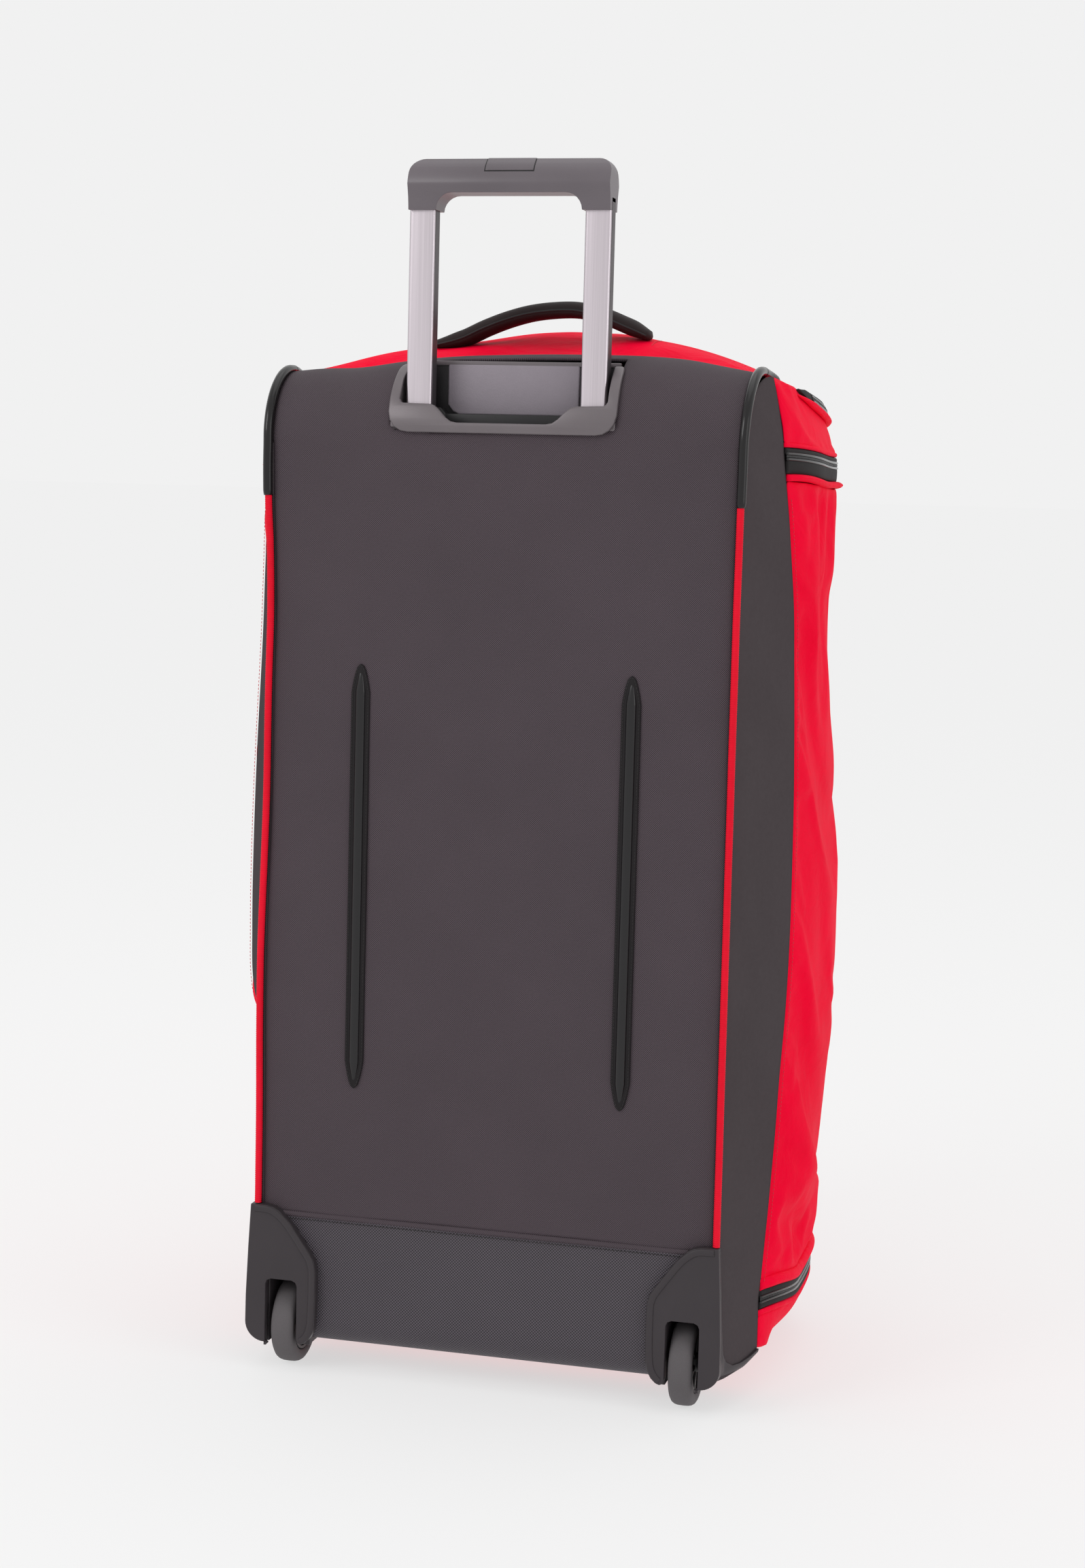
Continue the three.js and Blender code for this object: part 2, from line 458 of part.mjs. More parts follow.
// ---------- dividers of the end pockets ----------
function divider(z, t, back) {
  const s = new THREE.Shape(), pts = [];
  for (let i = 3; i <= 40; i++) {
    const q = wall((2 * i) / 43, (z - BOT) / (770 - BOT));
    pts.push(q);
  }
  const zz = z;
  const ring = [];
  const p = plan(zz);
  for (let i = 0; i <= 24; i++) {
    const [x, y] = onPlan(zz, (p.len * i) / 24);
    ring.push([x, y]);
  }
  const c = [0, 160];
  const pull = ([x, y]) => {
    const d = Math.hypot(x - c[0], y - c[1]);
    return [c[0] + ((x - c[0]) * (d - 7)) / d, c[1] + ((y - c[1]) * (d - 7)) / d];
  };
  const right = ring.map(pull).filter(([, y]) => y > back);
  const all = [...right, ...right.slice(0, -1).reverse().map(([x, y]) => [-x, y])];
  const shape = poly([[right[0][0], back], ...all, [-right[0][0], back]]);
  return toManifold(raise(shape, z, z + t));
}
put("top_divider", divider(694, 1.6, 40), M.lining);
put("bottom_divider", divider(104, 1.6, 54), M.lining);

// ---------- main zip tapes ----------
function topZ(x, y) {
  // height of the domed end above a plan point, by the ray from its centre
  const dx = x - TOP_C.x, dy = y - TOP_C.y;
  let best = null;
  for (let i = 0; i < rimTop.length; i++) {
    const a = rimTop[i], b = rimTop[(i + 1) % rimTop.length];
    const ex = b.x - a.x, ey = b.y - a.y, det = dx * -ey + dy * ex;
    if (Math.abs(det) < 1e-9) continue;
    const ax = a.x - TOP_C.x, ay = a.y - TOP_C.y;
    const t = (ax * -ey + ay * ex) / det, u = (dx * ay - dy * ax) / det;
    if (t > 0 && u >= -1e-9 && u <= 1 + 1e-9) best = { t, z: a.z + u * (b.z - a.z) };
  }
  if (!best) return TOP_C.z;
  const k = Math.min(1, 1 / best.t);
  return best.z + (TOP_C.z - best.z) * (1 - k ** 2.3);
}
function frontY(x, z) {
  const hw = W2 + bulge(z), F = front(z), NSE = nse(z);
  return YM + (F - YM) * (1 - Math.min(1, Math.abs(x) / hw) ** NSE) ** (1 / NSE);
}
function frontNormal(x, z) {
  const dx = (frontY(x + 1, z) - frontY(x - 1, z)) / 2, dz = (frontY(x, z + 1) - frontY(x, z - 1)) / 2;
  return new THREE.Vector3(-dx, 1, -dz).normalize();
}
function zipPath(o, lift = 0.95) {
  // right leg up, across, left leg down, at offset o outside the zip line
  const pts = [], x = ZIP_X + o, r = ZIP_R + o, zc = ZIP_TOP - ZIP_R;
  for (const z of [LID_Z + 3, 210, 300, 400, 500, 580]) pts.push([x, z]);
  for (let i = 0; i <= 4; i++) {
    const a = (i / 4) * (Math.PI / 2);
    pts.push([x - r + r * Math.cos(a), zc + r * Math.sin(a)]);
  }
  for (const px of [60, 0]) pts.push([px, ZIP_TOP + o]);
  const all = [...pts, ...pts.slice(0, -1).reverse().map(([a, b]) => [-a, b])];
  const nor = all.map(([a, b]) => frontNormal(a, b));
  return [all.map(([a, b], i) => new THREE.Vector3(a, frontY(a, b), b).addScaledVector(nor[i], lift)), nor];
}
const tapeSection = [[-3.8, -0.6], [3.8, -0.6], [3.8, 0.9], [-3.8, 0.9]];
{
  const [p, nn] = zipPath(4.6);
  let s = toManifold(sweep(p, nn, tapeSection));
  s = s.subtract(wallShell);
  put("main_zip_tape", largest(s.subtract(lidRegion(0.3))), M.blackTape);
}

// ---------- handle housing and tubes ----------
const plateOutline = [[-74, 742], [74, 742], [82, 744], [87.5, 750], [89, 758], [89, 794], [-89, 794], [-89, 758], [-87.5, 750], [-82, 744]];
const scoop = [[-79, 840], [-79, 763], [-56, 763], [-50, 760], [-42, 751.5], [-36, 749], [36, 749], [42, 751.5], [50, 760], [56, 763], [79, 763], [79, 840]];
let hh = toManifold(slab(poly(plateOutline), -3.6, -0.4)).add(boxS(-87, 87, -1.2, 36.6, 744.8, 794));
hh = hh.subtract(boxS(-79.5, 79.5, -0.5, 32.6, 757, 840)).subtract(toManifold(slab(poly(scoop), -10, 0.2)));
hh = hh.subtract(toManifold(slab(poly([[-40, 749.2], [40, 749.2], [46, 755], [46, 760], [-46, 760], [-46, 755]]), -1, 24)));
hh = hh.add(boxS(-87, 87, 32.6, 36.6, 780, 800.5));
both((n, s) => {
  hh = hh.add(boxS(s * TUBE_X - 16, s * TUBE_X + 16, 5.4, 29, 728, 750));
});
both((n, s) => {
  hh = hh.subtract(toManifold(raise(roundedRect(s * TUBE_X - 10.5, s * TUBE_X + 10.5, TUBE_Y - 8, TUBE_Y + 8, 3), 700, 800, 3)));
  hh = hh.subtract(boxS(s * TUBE_X - 12.4, s * TUBE_X + 12.4, TUBE_Y - 9.9, TUBE_Y + 9.9, 720, 746));
});
put("handle_housing", largest(hh), M.plastic);

const TRAVEL_DOWN = 144, TRAVEL_UP = 160, BLOCK_Z = 336;
both((n, s) => {
  const x = s * TUBE_X;
  const tube = (hx, hy, r, wl, z0, z1) =>
    toManifold(raise(roundedRect(x - hx, x + hx, TUBE_Y - hy, TUBE_Y + hy, r), z0, z1, 3)).subtract(toManifold(raise(roundedRect(x - hx + wl, x + hx - wl, TUBE_Y - hy + wl, TUBE_Y + hy - wl, Math.max(0.6, r - wl)), z0 - 5, z1 + 5, 3)));
  let ot = tube(12, 9.5, 2, 1.1, 110, 745.6);
  for (const z of [BLOCK_Z + 8 - TRAVEL_DOWN, BLOCK_Z + 8 + 0.5 * TRAVEL_UP - 40, BLOCK_Z + 8 + TRAVEL_UP]) ot = ot.subtract(toManifold(cylX(...(s > 0 ? [x + 9, x + 14] : [x - 14, x - 9]), TUBE_Y, z, 3.1, 12)));
  put("outer_tube_" + n, ot, M.alu);
  put("inner_tube_" + n, tube(10, 7.5, 2.6, 1.2, BLOCK_Z + 15, 918.4), M.alu);
  let block = toManifold(raise(roundedRect(x - 10.6, x + 10.6, TUBE_Y - 8.1, TUBE_Y + 8.1, 1.5), BLOCK_Z, BLOCK_Z + 14.6, 2)).add(toManifold(raise(roundedRect(x - 8.4, x + 8.4, TUBE_Y - 5.9, TUBE_Y + 5.9, 1.2), BLOCK_Z + 14, BLOCK_Z + 30, 2)));
  block = block.subtract(toManifold(cylX(...(s > 0 ? [x - 4, x + 12] : [x - 12, x + 4]), TUBE_Y, BLOCK_Z + 8, 2.8, 12)));
  block = block.subtract(toManifold(cylZ(x, TUBE_Y, BLOCK_Z + 12, BLOCK_Z + 40, 2.6, 12)));
  put("slide_block_" + n, block, M.plastic);
  put("lock_pin_" + n, cylX(...(s > 0 ? [x + 0.2, x + 10.5] : [x - 10.5, x - 0.2]), TUBE_Y, BLOCK_Z + 8, 2.4, 12), M.steel);
  put("push_rod_" + n, cylZ(x, TUBE_Y, BLOCK_Z + 22, 928.6, 2, 10), M.steel);
});
let bracket = boxS(-86, 86, 5.8, 27.5, 92, 109.6).subtract(boxS(-48, 48, 10, 40, 90, 112));
put("tube_bracket", bracket, M.plastic);

// ---------- grip, button, spring ----------
{
  const s = new THREE.Shape();
  const x = 78.6, z0 = 909, z1 = 947, r = 9;
  s.moveTo(-x, z0);
  s.lineTo(-57, z0);
  s.absarc(-57 + 11, z0 + 0.01, 11, Math.PI, Math.PI / 2, true);
  s.lineTo(57 - 11, z0 + 11.01);
  s.absarc(57 - 11, z0 + 0.01, 11, Math.PI / 2, 0, true);
  s.lineTo(x, z0);
  s.lineTo(x, z1 - r);
  s.absarc(x - r, z1 - r, r, 0, Math.PI / 2, false);
  s.lineTo(-x + r, z1);
  s.absarc(-x + r, z1 - r, r, Math.PI / 2, Math.PI, false);
  s.closePath();
  let g = toManifold(slab(s, 0.5, 30.5, 5));
  // rounded section: cut by a long prism with the grip's side profile
  const side = poly([[3.5, 900], [3.5, 918], [0.5, 926], [0.8, 934], [6, 943], [13, 947.2], [20, 947.2], [27, 943], [30.5, 934], [30.5, 926], [27.5, 918], [27.5, 900]]);
  const pg = new THREE.ExtrudeGeometry(side, { depth: 180, bevelEnabled: false });
  pg.applyMatrix4(new THREE.Matrix4().set(0, 0, 1, -90, 1, 0, 0, 0, 0, 1, 0, 0, 0, 0, 0, 1));
  g = g.intersect(toManifold(pg));
  g = g.subtract(boxS(-74.5, 74.5, 10, 21, 923.8, 934.2));
  g = g.subtract(boxS(-18.6, 18.6, 4, 27, 930.6, 950));
  both((n, sg) => {
    g = g.subtract(toManifold(raise(roundedRect(sg * TUBE_X - 10.4, sg * TUBE_X + 10.4, TUBE_Y - 7.9, TUBE_Y + 7.9, 2.6), 900, 918.9, 3)));
    g = g.subtract(toManifold(cylZ(sg * TUBE_X, TUBE_Y, 915, 926, 2.7, 12)));
  });
  put("grip", largest(g), M.grip);
  const bside = poly([[4.6, 936], [4.6, 940.4], [6.4, 942.8], [13.1, 946.8], [19.9, 946.8], [26.4, 942.8], [26.4, 936]]);
  const bg = new THREE.ExtrudeGeometry(bside, { depth: 36, bevelEnabled: false });
  bg.applyMatrix4(new THREE.Matrix4().set(0, 0, 1, -18, 1, 0, 0, 0, 0, 1, 0, 0, 0, 0, 0, 1));
  const button = toManifold(bg).add(boxS(-9, 9, 11, 20, 932, 937)).add(boxS(-73, 73, 11.4, 19.6, 929, 933.4));
  put("release_button", button, M.grip);
  const pts = [], nor = [];
  const turns = 2.6, n = 21;
  for (let i = 0; i <= n; i++) {
    const a = (2 * Math.PI * turns * i) / n;
    pts.push(new THREE.Vector3(3.4 * Math.cos(a), TUBE_Y + 3.4 * Math.sin(a), 924.6 + (3.6 * i) / n));
    nor.push(new THREE.Vector3(0, 0, 1));
  }
  put("button_spring", sweep(pts, nor, circle(0.4, 5)), M.steel);
}

// ---------- lid ----------
{
  put("lid_panel", largest(wallShell.intersect(inside)), M.redFabric);
  const [p, nn] = zipPath(-4.6);
  let s = toManifold(sweep(p, nn, tapeSection));
  s = s.subtract(wallShell);
  put("lid_zip_tape", largest(s.intersect(lidRegion(-0.4))), M.blackTape);
}
both((n, s) => {
  const pts = [], nor = [], x = s * 82, z0 = 300, z1 = 520;
  const surf = (z) => frontY(x, z);
  for (let i = 0; i <= 14; i++) {
    const t = i / 14, z = z0 + (z1 - z0) * t;
    const out = 5.4 + 31 * Math.sin(Math.PI * Math.min(1, Math.max(0, (t - 0.06) / 0.88))) ** 0.62;
    pts.push(new THREE.Vector3(x, surf(z) + out, z));
    nor.push(frontNormal(x, z));
  }
  put("carry_handle_" + n, sweep(pts, nor, [(t) => {
    const w = 4 + 12 * Math.sin(Math.PI * Math.min(1, Math.max(0, t))) ** 0.6;
    return [[-w, -1.6], [w, -1.6], [w, 1.6], [-w, 1.6]];
  }]), M.webbing);
});

// ---------- top grab handle ----------
{
  const pts = [], nor = [];
  const section = (t) => {
    const k = Math.sin(Math.PI * Math.min(1, Math.max(0, t))) ** 0.45;
    const w = 3.4 + 11 * k, h = 2.6 + 2.8 * k;
    return [[-w, -h * 0.6], [-w * 0.8, -h], [w * 0.8, -h], [w, -h * 0.6], [w, h * 0.6], [w * 0.8, h], [-w * 0.8, h], [-w, h * 0.6]];
  };
  const n = 16;
  for (let i = 0; i <= n; i++) {
    const t = i / n, x = -86 + 172 * t;
    const base = topZ(x, HANDLE_Y) + 5;
    const z = Math.max(base, base + (845 - base) * Math.sin(Math.PI * t) ** 0.9);
    pts.push(new THREE.Vector3(x, HANDLE_Y, z));
    nor.push(new THREE.Vector3(0, 0, 1));
  }
  put("top_handle", sweep(pts, nor, [section]), M.leather);
}

// ---------- slip pocket zip round the rim of the top end ----------
{
  const pts = [], nor = [];
  const p0 = plan(770), f0 = arcAtY(770, 116) / p0.len;
  for (let i = 0; i <= 22; i++) {
    const f = f0 + ((2 - 2 * f0) * i) / 22, h = f > 1 ? 2 - f : f;
    let y = 200, x = 0, z = 770;
    for (let k = 0; k < 4; k++) {
      [x, y] = onPlan(z, h * plan(z).len);
      z = ridge(y) - 11;
    }
    const e = 0.004, q1 = onPlan(z, (h + e) * plan(z).len), q0 = onPlan(z, (h - e) * plan(z).len);
    const n = new THREE.Vector3(q1[1] - q0[1], -(q1[0] - q0[0]), 0).normalize();
    if (f > 1) n.x *= -1;
    n.z = 0.45;
    n.normalize();
    pts.push(new THREE.Vector3(f > 1 ? -x : x, y, z).addScaledVector(n, 2.2));
    nor.push(n);
  }
  let t = toManifold(sweep(pts, nor, [[-6.5, -1], [6.5, -1], [6.5, 0.6], [-6.5, 0.6]]));
  put("rim_zip", largest(t.subtract(cap)), M.blackTape);
}

// ---------- zip sliders and pulls ----------
// Slider in a local frame: along = zip direction, out = surface normal.
function slider(name, p, along, out, drop, tilt = 0) {
  const a = along.clone().normalize(), o = out.clone().addScaledVector(a, -out.dot(a)).normalize(), c = a.clone().cross(o);
  const basis = new THREE.Matrix4().makeBasis(a, c, o).setPosition(p);
  const body = new THREE.BoxGeometry(12, 8, 3).translate(0, 0, 2.4);
  const bridge = new THREE.BoxGeometry(7, 2.6, 2.4).translate(0, 0, 5);
  const s = toManifold(body.applyMatrix4(basis)).add(toManifold(bridge.applyMatrix4(basis)));
  put(name + "_slider", s, M.zinc);
  // the pull hangs from a point above the bridge, in the direction drop
  const d = drop.clone().addScaledVector(o, -drop.dot(o)).normalize(), w = d.clone().cross(o);
  const pb = new THREE.Matrix4().makeBasis(d, w, o).setPosition(p.clone().addScaledVector(o, 8.2));
  const tab = new THREE.Shape();
  tab.moveTo(-1.2, -2.6);
  tab.lineTo(24, -3.4);
  tab.quadraticCurveTo(28, -3.4, 28, 0);
  tab.quadraticCurveTo(28, 3.4, 24, 3.4);
  tab.lineTo(-1.2, 2.6);
  tab.closePath();
  const pg = new THREE.ExtrudeGeometry(tab, { depth: 2, bevelEnabled: false, curveSegments: 3 }).translate(0, 0, -1);
  let pull = toManifold(pg.applyMatrix4(pb));
  put(name + "_pull", pull, M.zinc);
}
const V = (x, y, z) => new THREE.Vector3(x, y, z);
{
  const n = frontNormal(0, ZIP_TOP);
  slider("main_zip", V(0, frontY(0, ZIP_TOP), ZIP_TOP).addScaledVector(n, 1.2), V(1, 0, 0), n, V(0, 0, -1));
  const n2 = frontNormal(0, 725);
  slider("upper_zip", V(0, frontY(0, 725), 725).addScaledVector(n2, 0.6), V(1, 0, 0), n2, V(0, 0, -1));
  const n3 = frontNormal(0, 76);
  slider("lower_zip", V(0, frontY(0, 76), 76).addScaledVector(n3, 0.8), V(1, 0, 0), n3, V(0, 0, -1));
}

export default bag;
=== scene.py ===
import json
import math
import random

import bmesh
import bpy
import numpy as np
from mathutils import Matrix, Vector

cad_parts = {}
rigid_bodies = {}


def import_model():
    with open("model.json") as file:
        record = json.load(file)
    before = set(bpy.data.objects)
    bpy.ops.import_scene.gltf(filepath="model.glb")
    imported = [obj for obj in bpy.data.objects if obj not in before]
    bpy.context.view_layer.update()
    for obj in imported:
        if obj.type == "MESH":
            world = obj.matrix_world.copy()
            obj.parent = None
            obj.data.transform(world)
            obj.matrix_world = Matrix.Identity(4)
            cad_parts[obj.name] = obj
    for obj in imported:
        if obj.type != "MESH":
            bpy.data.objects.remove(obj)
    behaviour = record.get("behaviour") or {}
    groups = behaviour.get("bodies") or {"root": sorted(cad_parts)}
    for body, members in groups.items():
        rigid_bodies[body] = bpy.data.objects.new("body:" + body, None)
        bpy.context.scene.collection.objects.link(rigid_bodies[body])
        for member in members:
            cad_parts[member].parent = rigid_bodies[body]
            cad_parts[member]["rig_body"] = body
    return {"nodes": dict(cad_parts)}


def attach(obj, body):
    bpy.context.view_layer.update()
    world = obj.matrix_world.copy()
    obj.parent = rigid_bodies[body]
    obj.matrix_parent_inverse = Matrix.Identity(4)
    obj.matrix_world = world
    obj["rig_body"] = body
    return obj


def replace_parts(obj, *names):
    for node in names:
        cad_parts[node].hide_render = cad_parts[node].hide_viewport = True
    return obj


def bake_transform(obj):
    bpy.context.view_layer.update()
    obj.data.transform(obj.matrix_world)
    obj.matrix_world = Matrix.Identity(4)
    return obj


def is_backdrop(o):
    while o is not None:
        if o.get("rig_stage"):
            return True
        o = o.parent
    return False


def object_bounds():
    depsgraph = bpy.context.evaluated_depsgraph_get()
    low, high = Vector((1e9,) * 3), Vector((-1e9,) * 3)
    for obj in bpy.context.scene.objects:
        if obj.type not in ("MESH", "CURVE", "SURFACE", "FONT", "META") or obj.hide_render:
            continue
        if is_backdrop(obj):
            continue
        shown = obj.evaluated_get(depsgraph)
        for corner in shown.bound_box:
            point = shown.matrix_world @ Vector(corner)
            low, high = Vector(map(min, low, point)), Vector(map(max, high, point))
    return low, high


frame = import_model()
N = frame["nodes"]
CAD_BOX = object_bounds()
random.seed(7)
rng = np.random.default_rng(7)
SCENE = bpy.context.scene

# ------------------------------------------------------------------ shape of the bag
# Working units here are millimetres with the back panel on y = 0; P() turns them into the row frame in metres.
Y0 = -190.0
W2, YM = 185.0, 150.0
ROLL, ROLL_TOP, ROLL_DROP = 58.0, 808.0, 16.0
BOT, BASE_Z, GUARD_TOP = 26.0, 22.0, 128.0
TUBE_X, TUBE_Y = 68.4, 15.5
ZIP_X, ZIP_TOP, ZIP_R, LID_Z = 165.0, 688.0, 48.0, 125.0


def P(a):
    a = np.asarray(a, float)
    return np.stack([a[..., 0] / 1000, (a[..., 1] + Y0) / 1000, a[..., 2] / 1000], -1)


def table(xs, ys):
    xs, ys = np.array(xs, float), np.array(ys, float)
    m = np.empty_like(ys)
    m[1:-1] = (ys[2:] - ys[:-2]) / (xs[2:] - xs[:-2])
    m[0] = (ys[1] - ys[0]) / (xs[1] - xs[0])
    m[-1] = (ys[-1] - ys[-2]) / (xs[-1] - xs[-2])

    def f(x):
        x = np.clip(np.asarray(x, float), xs[0], xs[-1])
        i = np.clip(np.searchsorted(xs, x) - 1, 0, len(xs) - 2)
        h = xs[i + 1] - xs[i]
        t = (x - xs[i]) / h
        return (2 * t**3 - 3 * t**2 + 1) * ys[i] + (t**3 - 2 * t**2 + t) * h * m[i] + (-2 * t**3 + 3 * t**2) * ys[i + 1] + (t**3 - t**2) * h * m[i + 1]

    return f


bulge = table([22, 50, 80, 140, 200, 250, 306, 362, 417, 472, 527, 582, 640, 691, 745, 770, 795], [17, 36, 46, 49, 50, 51, 54, 55, 54, 52, 49, 46, 44, 42, 37, 28, 17])
front = table([22, 50, 80, 150, 300, 500, 650, 720, 770, 795], [300, 323, 336, 346, 352, 352, 345, 335, 316, 302])
nse = table([22, 120, 400, 650, 795], [4.2, 3.6, 3.2, 3.6, 4.4])
seam_y = table([22, 90, 150, 230, 400, 600, 680, 740, 795], [57, 57, 62, 68, 72, 74, 65, 57, 62])


left_k = table([22, 200, 255, 290, 340, 800], [0.55, 0.55, 0.6, 0.92, 0.97, 0.98])
bow_l = table([134, 150, 225, 290, 350, 450, 553, 605, 655, 689, 740, 800], [2.0, 2.1, 1.7, 0.9, 1.2, 3.8, 4.4, 5.2, 4.0, 2.2, 1.0, 0.6])
bow_r = table([134, 300, 450, 605, 689, 740, 800], [0.0, 0.6, 1.0, 1.3, 1.0, 0.6, 0.4])
tilt = table([-184, -160, -130, -95, -60, 0, 60, 95, 130, 160, 184], [-0.4, -1.9, -4.8, -3.4, -2.0, -1.0, 1.3, 3.4, 4.8, 3.9, 3.6])


def bow(x, y, z):
    """The sewn side edges of the back are not ruler-straight: the left one is drawn in at shoulder height."""
    k = min(1.0, max(0.0, (abs(x) - 110) / 72)) * min(1.0, max(0.0, 1 - y / 72))
    return x + float(bow_l(z)) * k if x < 0 else x - float(bow_r(z)) * k


def roll_top(x):
    """Height of the black shoulder roll across the bag."""
    return ROLL_TOP - ROLL_DROP * min(1, abs(x) / W2) ** 2 + float(tilt(x))


def ridge(y):
    y = np.asarray(y, float)
    a = ROLL_TOP - ROLL_DROP - ROLL + np.sqrt(np.maximum(0, ROLL**2 - (ROLL - np.minimum(y, ROLL)) ** 2))
    return np.where(y < ROLL, a, ROLL_TOP - ROLL_DROP + 4 * np.clip((y - ROLL) / 60, 0, 1) - 0.08 * (y - ROLL))


_plans = {}


def flare(y, z):
    """Near the wheel housings the cloth is held out, so the corner does not pull in as the bottom does."""
    w = np.clip((122 - np.asarray(y, float)) / 62, 0, 1)
    return max(0.0, 46.0 - float(bulge(z))) * (w * w * (3 - 2 * w)) * float(np.clip((120 - z) / 40, 0, 1))


def plan(z, left=False):
    key = (round(float(z) * 4), bool(left))
    if key not in _plans:
        b, F, n = float(bulge(z)), float(front(z)), float(nse(z))
        if left:
            b *= float(left_k(z))
        y1 = np.linspace(0, YM, 60)
        x1 = W2 + (b + flare(y1, z) * (0.6 if left else 1)) * np.sin(np.pi / 2 * y1 / YM)
        a = np.pi / 2 * np.linspace(0, 1, 160)[1:]
        x2 = (W2 + b) * np.maximum(np.cos(a), 0) ** (2 / n)
        y2 = YM + (F - YM) * np.sin(a) ** (2 / n)
        x2[-1] = 0
        x, y = np.r_[x1, x2], np.r_[y1, y2]
        s = np.r_[0, np.cumsum(np.hypot(np.diff(x), np.diff(y)))]
        _plans[key] = (x, y, s)
    return _plans[key]


def on_plan(z, s, left=False):
    x, y, t = plan(z, left)
    return np.interp(s, t, x), np.interp(s, t, y)


def arc_at_y(z, y, left=False):
    x, yy, t = plan(z, left)
    return float(np.interp(y, yy[:60], t[:60]))


def plan_len(z, left=False):
    return plan(z, left)[2][-1]


def front_y(x, z):
    x = np.asarray(x, float)
    b = bulge(z) * np.where(x < 0, left_k(z), 1.0)
    hw, F, n = W2 + b, front(z), nse(z)
    return YM + (F - YM) * (1 - np.minimum(1, np.abs(x) / hw) ** n) ** (1 / n)


def side_x(y, z, left=False):
    b = float(bulge(z)) * (float(left_k(z)) if left else 1.0)
    return W2 + (b + flare(y, z) * (0.6 if left else 1)) * np.sin(np.pi / 2 * np.asarray(y, float) / YM)


# ------------------------------------------------------------------ mesh helpers
def make(name, verts, faces, body, mat, smooth=True, uv=None, replaces=(), angle=None):
    me = bpy.data.meshes.new(name)
    me.from_pydata([tuple(v) for v in np.asarray(verts)], [], [tuple(int(i) for i in f) for f in faces])
    me.validate()
    me.update()
    ob = bpy.data.objects.new(name, me)
    SCENE.collection.objects.link(ob)
    if uv is not None:
        layer = me.uv_layers.new(name="UVMap")
        idx = np.empty(len(me.loops), np.int32)
        me.loops.foreach_get("vertex_index", idx)
        layer.data.foreach_set("uv", np.asarray(uv, np.float32)[idx].ravel())
    if mat is not None:
        me.materials.append(mat)
    if smooth:
        me.polygons.foreach_set("use_smooth", [True] * len(me.polygons))
    if angle is not None:
        me.set_sharp_from_angle(angle=math.radians(angle))
    if body:
        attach(ob, body)
    if replaces:
        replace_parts(ob, *replaces)
    return ob


def grid_faces(nu, nv, closed_u=False):
    f = []
    for i in range(nu if closed_u else nu - 1):
        k = (i + 1) % nu
        for j in range(nv - 1):
            f.append((i * nv + j, k * nv + j, k * nv + j + 1, i * nv + j + 1))
    return f


def apply_mods(ob):
    dg = bpy.context.evaluated_depsgraph_get()
    me = bpy.data.meshes.new_from_object(ob.evaluated_get(dg))
    old = ob.data
    ob.modifiers.clear()
    ob.data = me
    if old.users == 0:
        bpy.data.meshes.remove(old)
    return ob


def outward(ob, centre):
    """Turns the faces of an open sheet away from a centre in millimetres."""
    bm = bmesh.new()
    bm.from_mesh(ob.data)
    bmesh.ops.recalc_face_normals(bm, faces=bm.faces)
    c = Vector(P(centre))
    s = sum(f.normal.dot(f.calc_center_median() - c) * f.calc_area() for f in bm.faces)
    if s < 0:
        bmesh.ops.reverse_faces(bm, faces=bm.faces)
    bm.to_mesh(ob.data)
    bm.free()
    return ob


def solidify(ob, t, inner=None):
    if inner is not None:
        ob.data.materials.append(inner)
    m = ob.modifiers.new("thick", "SOLIDIFY")
    m.thickness = t / 1000
    m.offset = -1
    m.use_even_offset = False
    if inner is not None:
        m.material_offset = 1
        m.material_offset_rim = 0
    apply_mods(ob)
    return ob


def subsurf(ob, n=1):
    m = ob.modifiers.new("sub", "SUBSURF")
    m.levels = m.render_levels = n
    apply_mods(ob)
    return ob


def bevel(ob, w, seg=3, angle=35):
    m = ob.modifiers.new("bev", "BEVEL")
    m.width = w / 1000
    m.segments = seg
    m.limit_method = "ANGLE"
    m.angle_limit = math.radians(angle)
    m.use_clamp_overlap = True
    m.harden_normals = False
    apply_mods(ob)
    ob.data.polygons.foreach_set("use_smooth", [True] * len(ob.data.polygons))
    ob.data.set_sharp_from_angle(angle=math.radians(50))
    return ob


def prism(name, outline, axis, a0, a1, body, mat, bev=0.0, seg=3, replaces=(), holes=()):
    """Outline in two coordinates, raised along the third: axis "y" draws in (x, z), "x" in (y, z), "z" in (x, y)."""
    bm = bmesh.new()

    def co(p, a):
        if axis == "y":
            q = (p[0], a, p[1])
        elif axis == "x":
            q = (a, p[0], p[1])
        else:
            q = (p[0], p[1], a)
        return Vector(P(q))

    loops = [outline] + list(holes)
    edges = []
    for lp in loops:
        vs = [bm.verts.new(co(p, a0)) for p in lp]
        for i in range(len(vs)):
            edges.append(bm.edges.new((vs[i], vs[(i + 1) % len(vs)])))
    r = bmesh.ops.triangle_fill(bm, edges=edges, use_beauty=True)
    faces = [g for g in r["geom"] if isinstance(g, bmesh.types.BMFace)]
    bmesh.ops.dissolve_limit(bm, angle_limit=0.01, verts=bm.verts, edges=bm.edges)
    faces = list(bm.faces)
    r = bmesh.ops.extrude_face_region(bm, geom=faces)
    nv = [g for g in r["geom"] if isinstance(g, bmesh.types.BMVert)]
    d = co((0, 0), a1) - co((0, 0), a0)
    bmesh.ops.translate(bm, verts=nv, vec=d)
    bmesh.ops.recalc_face_normals(bm, faces=bm.faces)
    me = bpy.data.meshes.new(name)
    bm.to_mesh(me)
    bm.free()
    me.materials.append(mat)
    ob = bpy.data.objects.new(name, me)
    SCENE.collection.objects.link(ob)
    if bev:
        bevel(ob, bev, seg)
    else:
        me.polygons.foreach_set("use_smooth", [True] * len(me.polygons))
        me.set_sharp_from_angle(angle=math.radians(40))
    if body:
        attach(ob, body)
    if replaces:
        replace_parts(ob, *replaces)
    return ob


